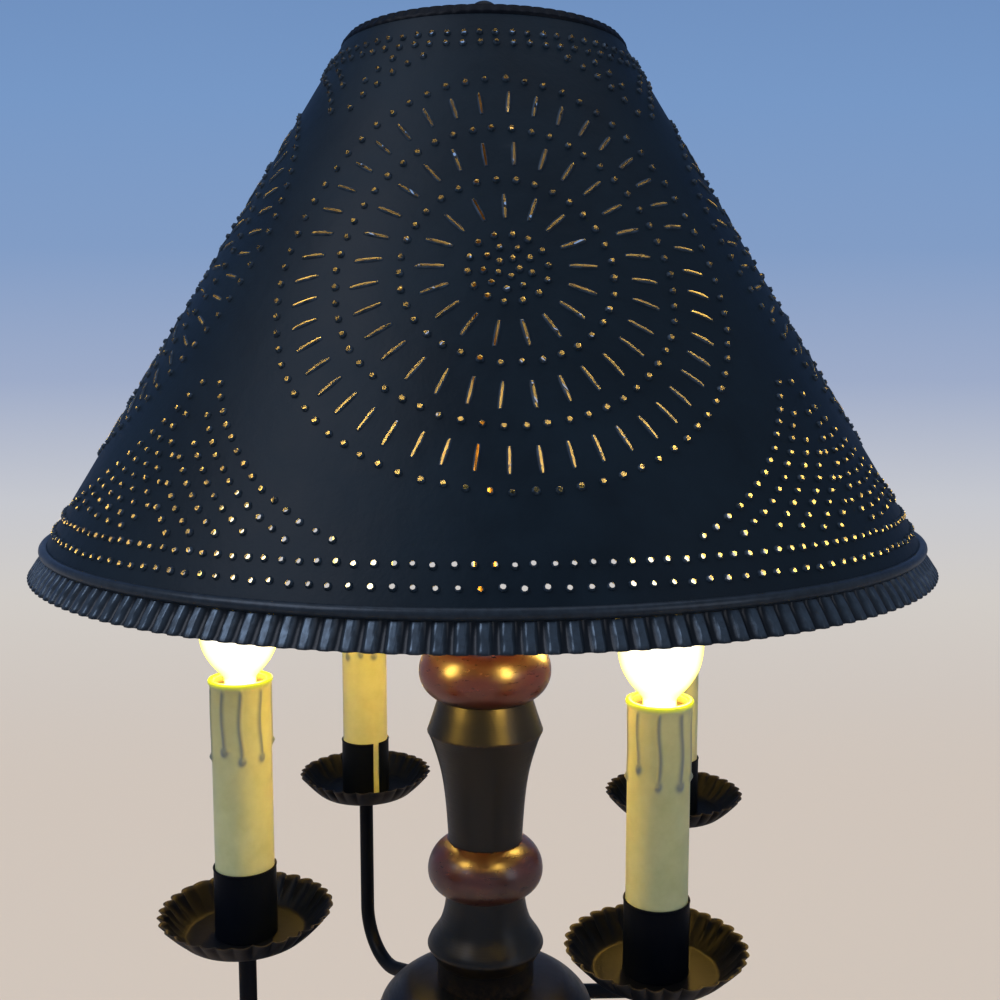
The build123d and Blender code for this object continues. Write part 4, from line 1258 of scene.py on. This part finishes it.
    def flange(self) -> None:
        """Ribbed skirt: flared sheet whose ribs are round and meet in narrow grooves. The rib crests take the lighter
        metal tone and the grooves keep the dark coat: painted sheen on the ribs and painted shade in the grooves."""
        top, rim = RIM_Z + self.flange_height, self.rim_radius
        outer = np.array([[rim, RIM_Z], [rim + 0.1, RIM_Z + 0.5], [rim - 0.5, RIM_Z + 1.4], [rim - 2.4, RIM_Z + 4.3],
                          [rim - 4.5, RIM_Z + 7.2], [rim - self.flange_flare, top]])
        inner = (outer - np.array([0.6, -0.05]))[::-1]
        outline = np.vstack([outer, inner])
        weight = np.interp(outline[:, 1], [RIM_Z, RIM_Z + 1.0, top - 1.0, top], [0.55, 1.0, 1.0, 0.5])
        cols = self.ribs * 12

        def groove(turn: np.ndarray) -> np.ndarray:
            """Depth of the grooves as a share: none on a rib's crest, one in the middle of a groove."""
            return np.clip(1.9 - 2.2 * np.abs(np.sin(self.ribs * turn / 2)), 0, 1)

        def ribs(turn: np.ndarray, row: np.ndarray) -> np.ndarray:
            """Radial offset of the flange's ribs."""
            return -weight[row.astype(int)] * self.rib_depth * groove(turn)

        points, quads = revolve(outline, cols, push=ribs)
        turn = np.arctan2(points[:, 1], points[:, 0])
        # Painted sheen on the rib crests and painted shade in the grooves, less of the sheen at the bottom edge.
        wear_and_sheen = (1 - groove(turn)) * np.clip((points[:, 2] - RIM_Z - 0.3) / 1.2, 0.3, 1)
        piece = write_piece("tin_flange", points, [quads], Finish.RIBBED_TIN, "shade", ["shade_flange"], wear_and_sheen)
        crease(piece, 40)


@dataclass
class Finial:
    """Turned metal finial: skirt, neck and ball."""

    base: float = SEAT_Z + 1.6
    height: float = 29.0
    segments: int = 64

    def build(self) -> None:
        """Turn the finial and close its top."""
        b, top = self.base, self.base + self.height
        ball = arc(-48, 89, (7.2, 7.2), (0, top - 7.2), 26)
        side = np.vstack([[[9.2, b], [9.5, b + 0.4], [9.5, b + 5.4]],
                          smooth_line([(9.3, b + 6.2), (8.2, b + 8.2), (7.0, b + 10.6), (6.6, b + 12.4),
                                       (5.4, b + 14.6)], 5),
                          [[4.9, b + 16.0]], ball])
        outline = np.vstack([[[5.2, b + 10.9], [5.2, b]], side])
        points, faces = revolve_capped(outline, self.segments)
        piece = write_piece("turned_finial", points, faces, Finish.BLACK_METAL, "finial", ["finial"],
                            np.repeat(edge_wear(outline), self.segments) * 0.7)
        crease(piece, 50)


# Studio

@dataclass
class Studio:
    """Pale floor with a curved back, soft lamps and the camera."""

    camera_azimuth: float = 11.3
    distance: float = 522.5
    camera_height: float = RIM_Z + 83.5
    focal_px: float = 1180.6
    pitch: float = 6.59
    yaw: float = 0.74

    def camera(self) -> None:
        """Stand the camera in front of the lamp: it looks along its own forward line, and right and down follow
        from yaw and pitch."""
        az, yaw, pitch = math.radians(self.camera_azimuth), math.radians(self.yaw), math.radians(self.pitch)
        forward = np.array([math.sin(yaw) * math.cos(pitch), math.cos(yaw) * math.cos(pitch), -math.sin(pitch)])
        right = np.array([math.cos(yaw), -math.sin(yaw), 0.0])
        down = np.cross(forward, right)
        turn = np.array([[math.cos(az), -math.sin(az), 0], [math.sin(az), math.cos(az), 0], [0, 0, 1]])
        at = turn @ np.array([0.0, -self.distance, self.camera_height]) * MM
        basis = np.column_stack([turn @ right, turn @ -down, turn @ -forward])
        lens = bpy.data.cameras.new("camera")
        lens.sensor_width = 36.0
        lens.lens = 36.0 * self.focal_px / 1000
        lens.clip_start = 0.01
        camera = bpy.data.objects.new("camera", lens)
        camera.matrix_world = Matrix([[*basis[i], at[i]] for i in range(3)] + [[0, 0, 0, 1]])
        bpy.context.scene.collection.objects.link(camera)
        bpy.context.scene.camera = camera

    def lamp(self, name: str, at: tuple[float, float, float], size: float, power: float, colour: str) -> None:
        """Hang one soft square lamp that faces the lamp's middle.

        Args:
            name: Its name.
            at: Its place in metres.
            size: Side of the square in metres.
            power: Watts.
            colour: Hex code.
        """
        light = bpy.data.lights.new(name, "AREA")
        light.size = size
        light.energy = power
        light.color = linear(colour)[:3]
        hung = bpy.data.objects.new(name, light)
        away = np.array(at) - np.array([0.0, 0.0, 0.33])
        z = away / np.linalg.norm(away)
        x = np.cross([0.0, 0.0, 1.0], z)
        x = x / np.linalg.norm(x)
        y = np.cross(z, x)
        hung.matrix_world = Matrix([[x[i], y[i], z[i], at[i]] for i in range(3)] + [[0, 0, 0, 1]])
        bpy.context.scene.collection.objects.link(hung)

    def sweep(self) -> None:
        """Floor that curves up into a wall behind: a line of floor, quarter circle and wall, drawn out sideways.
        It lies a hair under the felt and is clear from below. The eye sees it full bright, but a reflection sees
        plain paint, so that dark gloss stays dark."""
        depth = np.concatenate([np.linspace(-2.4, 0.55, 12), 0.55 + 0.75 * np.sin(np.linspace(0.1, np.pi / 2, 14)),
                                np.full(8, 1.3)])
        height = np.concatenate([np.zeros(12), 0.75 * (1 - np.cos(np.linspace(0.1, np.pi / 2, 14))),
                                 np.linspace(0.85, 2.6, 8)]) - 0.0002
        width = np.linspace(-2.6, 2.6, 9)
        az = math.radians(self.camera_azimuth)
        y, x = np.meshgrid(depth, width, indexing="ij")
        z = height[:, None] * np.ones_like(x)
        points = np.stack([x * math.cos(az) - y * math.sin(az), x * math.sin(az) + y * math.cos(az), z], -1)
        mesh = bpy.data.meshes.new("studio_sweep")
        quads = grid_quads(len(depth), len(width), wrap_cols=False)
        mesh.from_pydata(points.reshape(-1, 3).tolist(), [], quads.tolist())
        mesh.shade_smooth()
        material, tree, shader, where = start("pale_sweep")
        height_out = height_of(tree, where)
        rise = add_node(tree, "MapRange", Value=height_out, i1=0.0, i2=1.1, i3=0.0, i4=1.0).outputs[0]
        tone = ramp(tree, rise, [(0.0, "#d6cabf"), (0.04, "#d4cbc3"), (0.11, "#d2cdc8"), (0.21, "#c6c8cf"),
                                 (0.36, "#9eacc9"), (0.54, "#829dc6"), (0.74, "#7798c6"), (0.9, "#6f90bf")])
        feed(tree, shader, Base_Color=tone, Roughness=0.9)
        path = add_node(tree, "LightPath").outputs
        seen = add_node(tree, "Math", {"operation": "MAXIMUM"}, i0=path["Is Camera Ray"],
                        i1=path["Is Transmission Ray"]).outputs[0]
        share = times(tree, seen, climb(tree, height_out, 0.004, 0.16, first=0.9))
        glow = add_node(tree, "Emission", Color=tone, Strength=1.0).outputs[0]
        above = add_node(tree, "MixShader", Fac=share, i1=shader.outputs[0], i2=glow).outputs[0]
        from_below = add_node(tree, "NewGeometry").outputs["Backfacing"]
        clear = add_node(tree, "BsdfTransparent").outputs[0]
        out = next(n for n in tree.nodes if n.type == "OUTPUT_MATERIAL")
        feed(tree, out, Surface=add_node(tree, "MixShader", Fac=from_below, i1=above, i2=clear).outputs[0])
        mesh.materials.append(material)
        floor = bpy.data.objects.new("studio_sweep", mesh)
        bpy.context.scene.collection.objects.link(floor)

    def build(self) -> None:
        """Set up camera, lamps, world and sweep."""
        self.camera()
        self.sweep()
        self.lamp("window_lamp", (-1.15, -1.0, 1.9), 1.35, 18.0, "#e4ecff")
        self.lamp("front_right_lamp", (1.5, -0.9, 0.9), 1.0, 3.5, "#eef2ff")
        self.lamp("top_lamp", (0.1, 0.2, 2.0), 1.4, 3.5, "#e6eeff")
        world = bpy.data.worlds.new("soft_room")
        world.use_nodes = True
        feed(world.node_tree, world.node_tree.nodes["Background"], Color=linear("#b8cbe8"), Strength=0.36)
        bpy.context.scene.world = world
        bpy.context.scene.view_settings.view_transform = "Standard"


def dress_nodes(nodes: dict[str, bpy.types.Object]) -> None:
    """Give every CAD node that stays in sight its finish.

    Args:
        nodes: The frame's nodes by name.
    """
    plan = {
        Finish.FELT: ["base_pad"],
        Finish.BLACK_METAL: ["bottom_plate"],
        Finish.BRASS: ["riser_pipe", "screw_shells", "socket_contacts", "shade_seat",
                       *(f"bulb_base_{k}" for k in range(1, 5))],
        Finish.STEEL: ["plate_screws", "pipe_washers", "pipe_nuts", "arm_nuts", "socket_stems", "switch_nut",
                       "switch_shaft", "shade_spider", "wire_splice"],
        Finish.SOCKET: ["socket_bodies", "switch_body"],
        Finish.WIRE: ["arm_wires", "switch_lead"],
        Finish.KNOB: ["switch_knob", "cord_bushing"],
    }
    for finish, names in plan.items():
        for name in names:
            mesh = nodes[name].data
            mesh.materials.clear()
            mesh.materials.append(finish.material())
            LOG.info("%s wears %s", name, finish.value.name)


def main() -> None:
    """Build the lamp and its studio."""
    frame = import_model()
    dress_nodes(frame["nodes"])
    Column().build()
    for number, angle in enumerate((45.0, 135.0, 225.0, 315.0), start=1):
        Arm(number, angle).build()
        Bulb(number, angle).build()
    PiercedShade().build()
    Finial().build()
    Studio().build()


if __name__ == "__main__":
    logging.basicConfig(level=logging.INFO, format="%(name)s %(message)s")
    main()
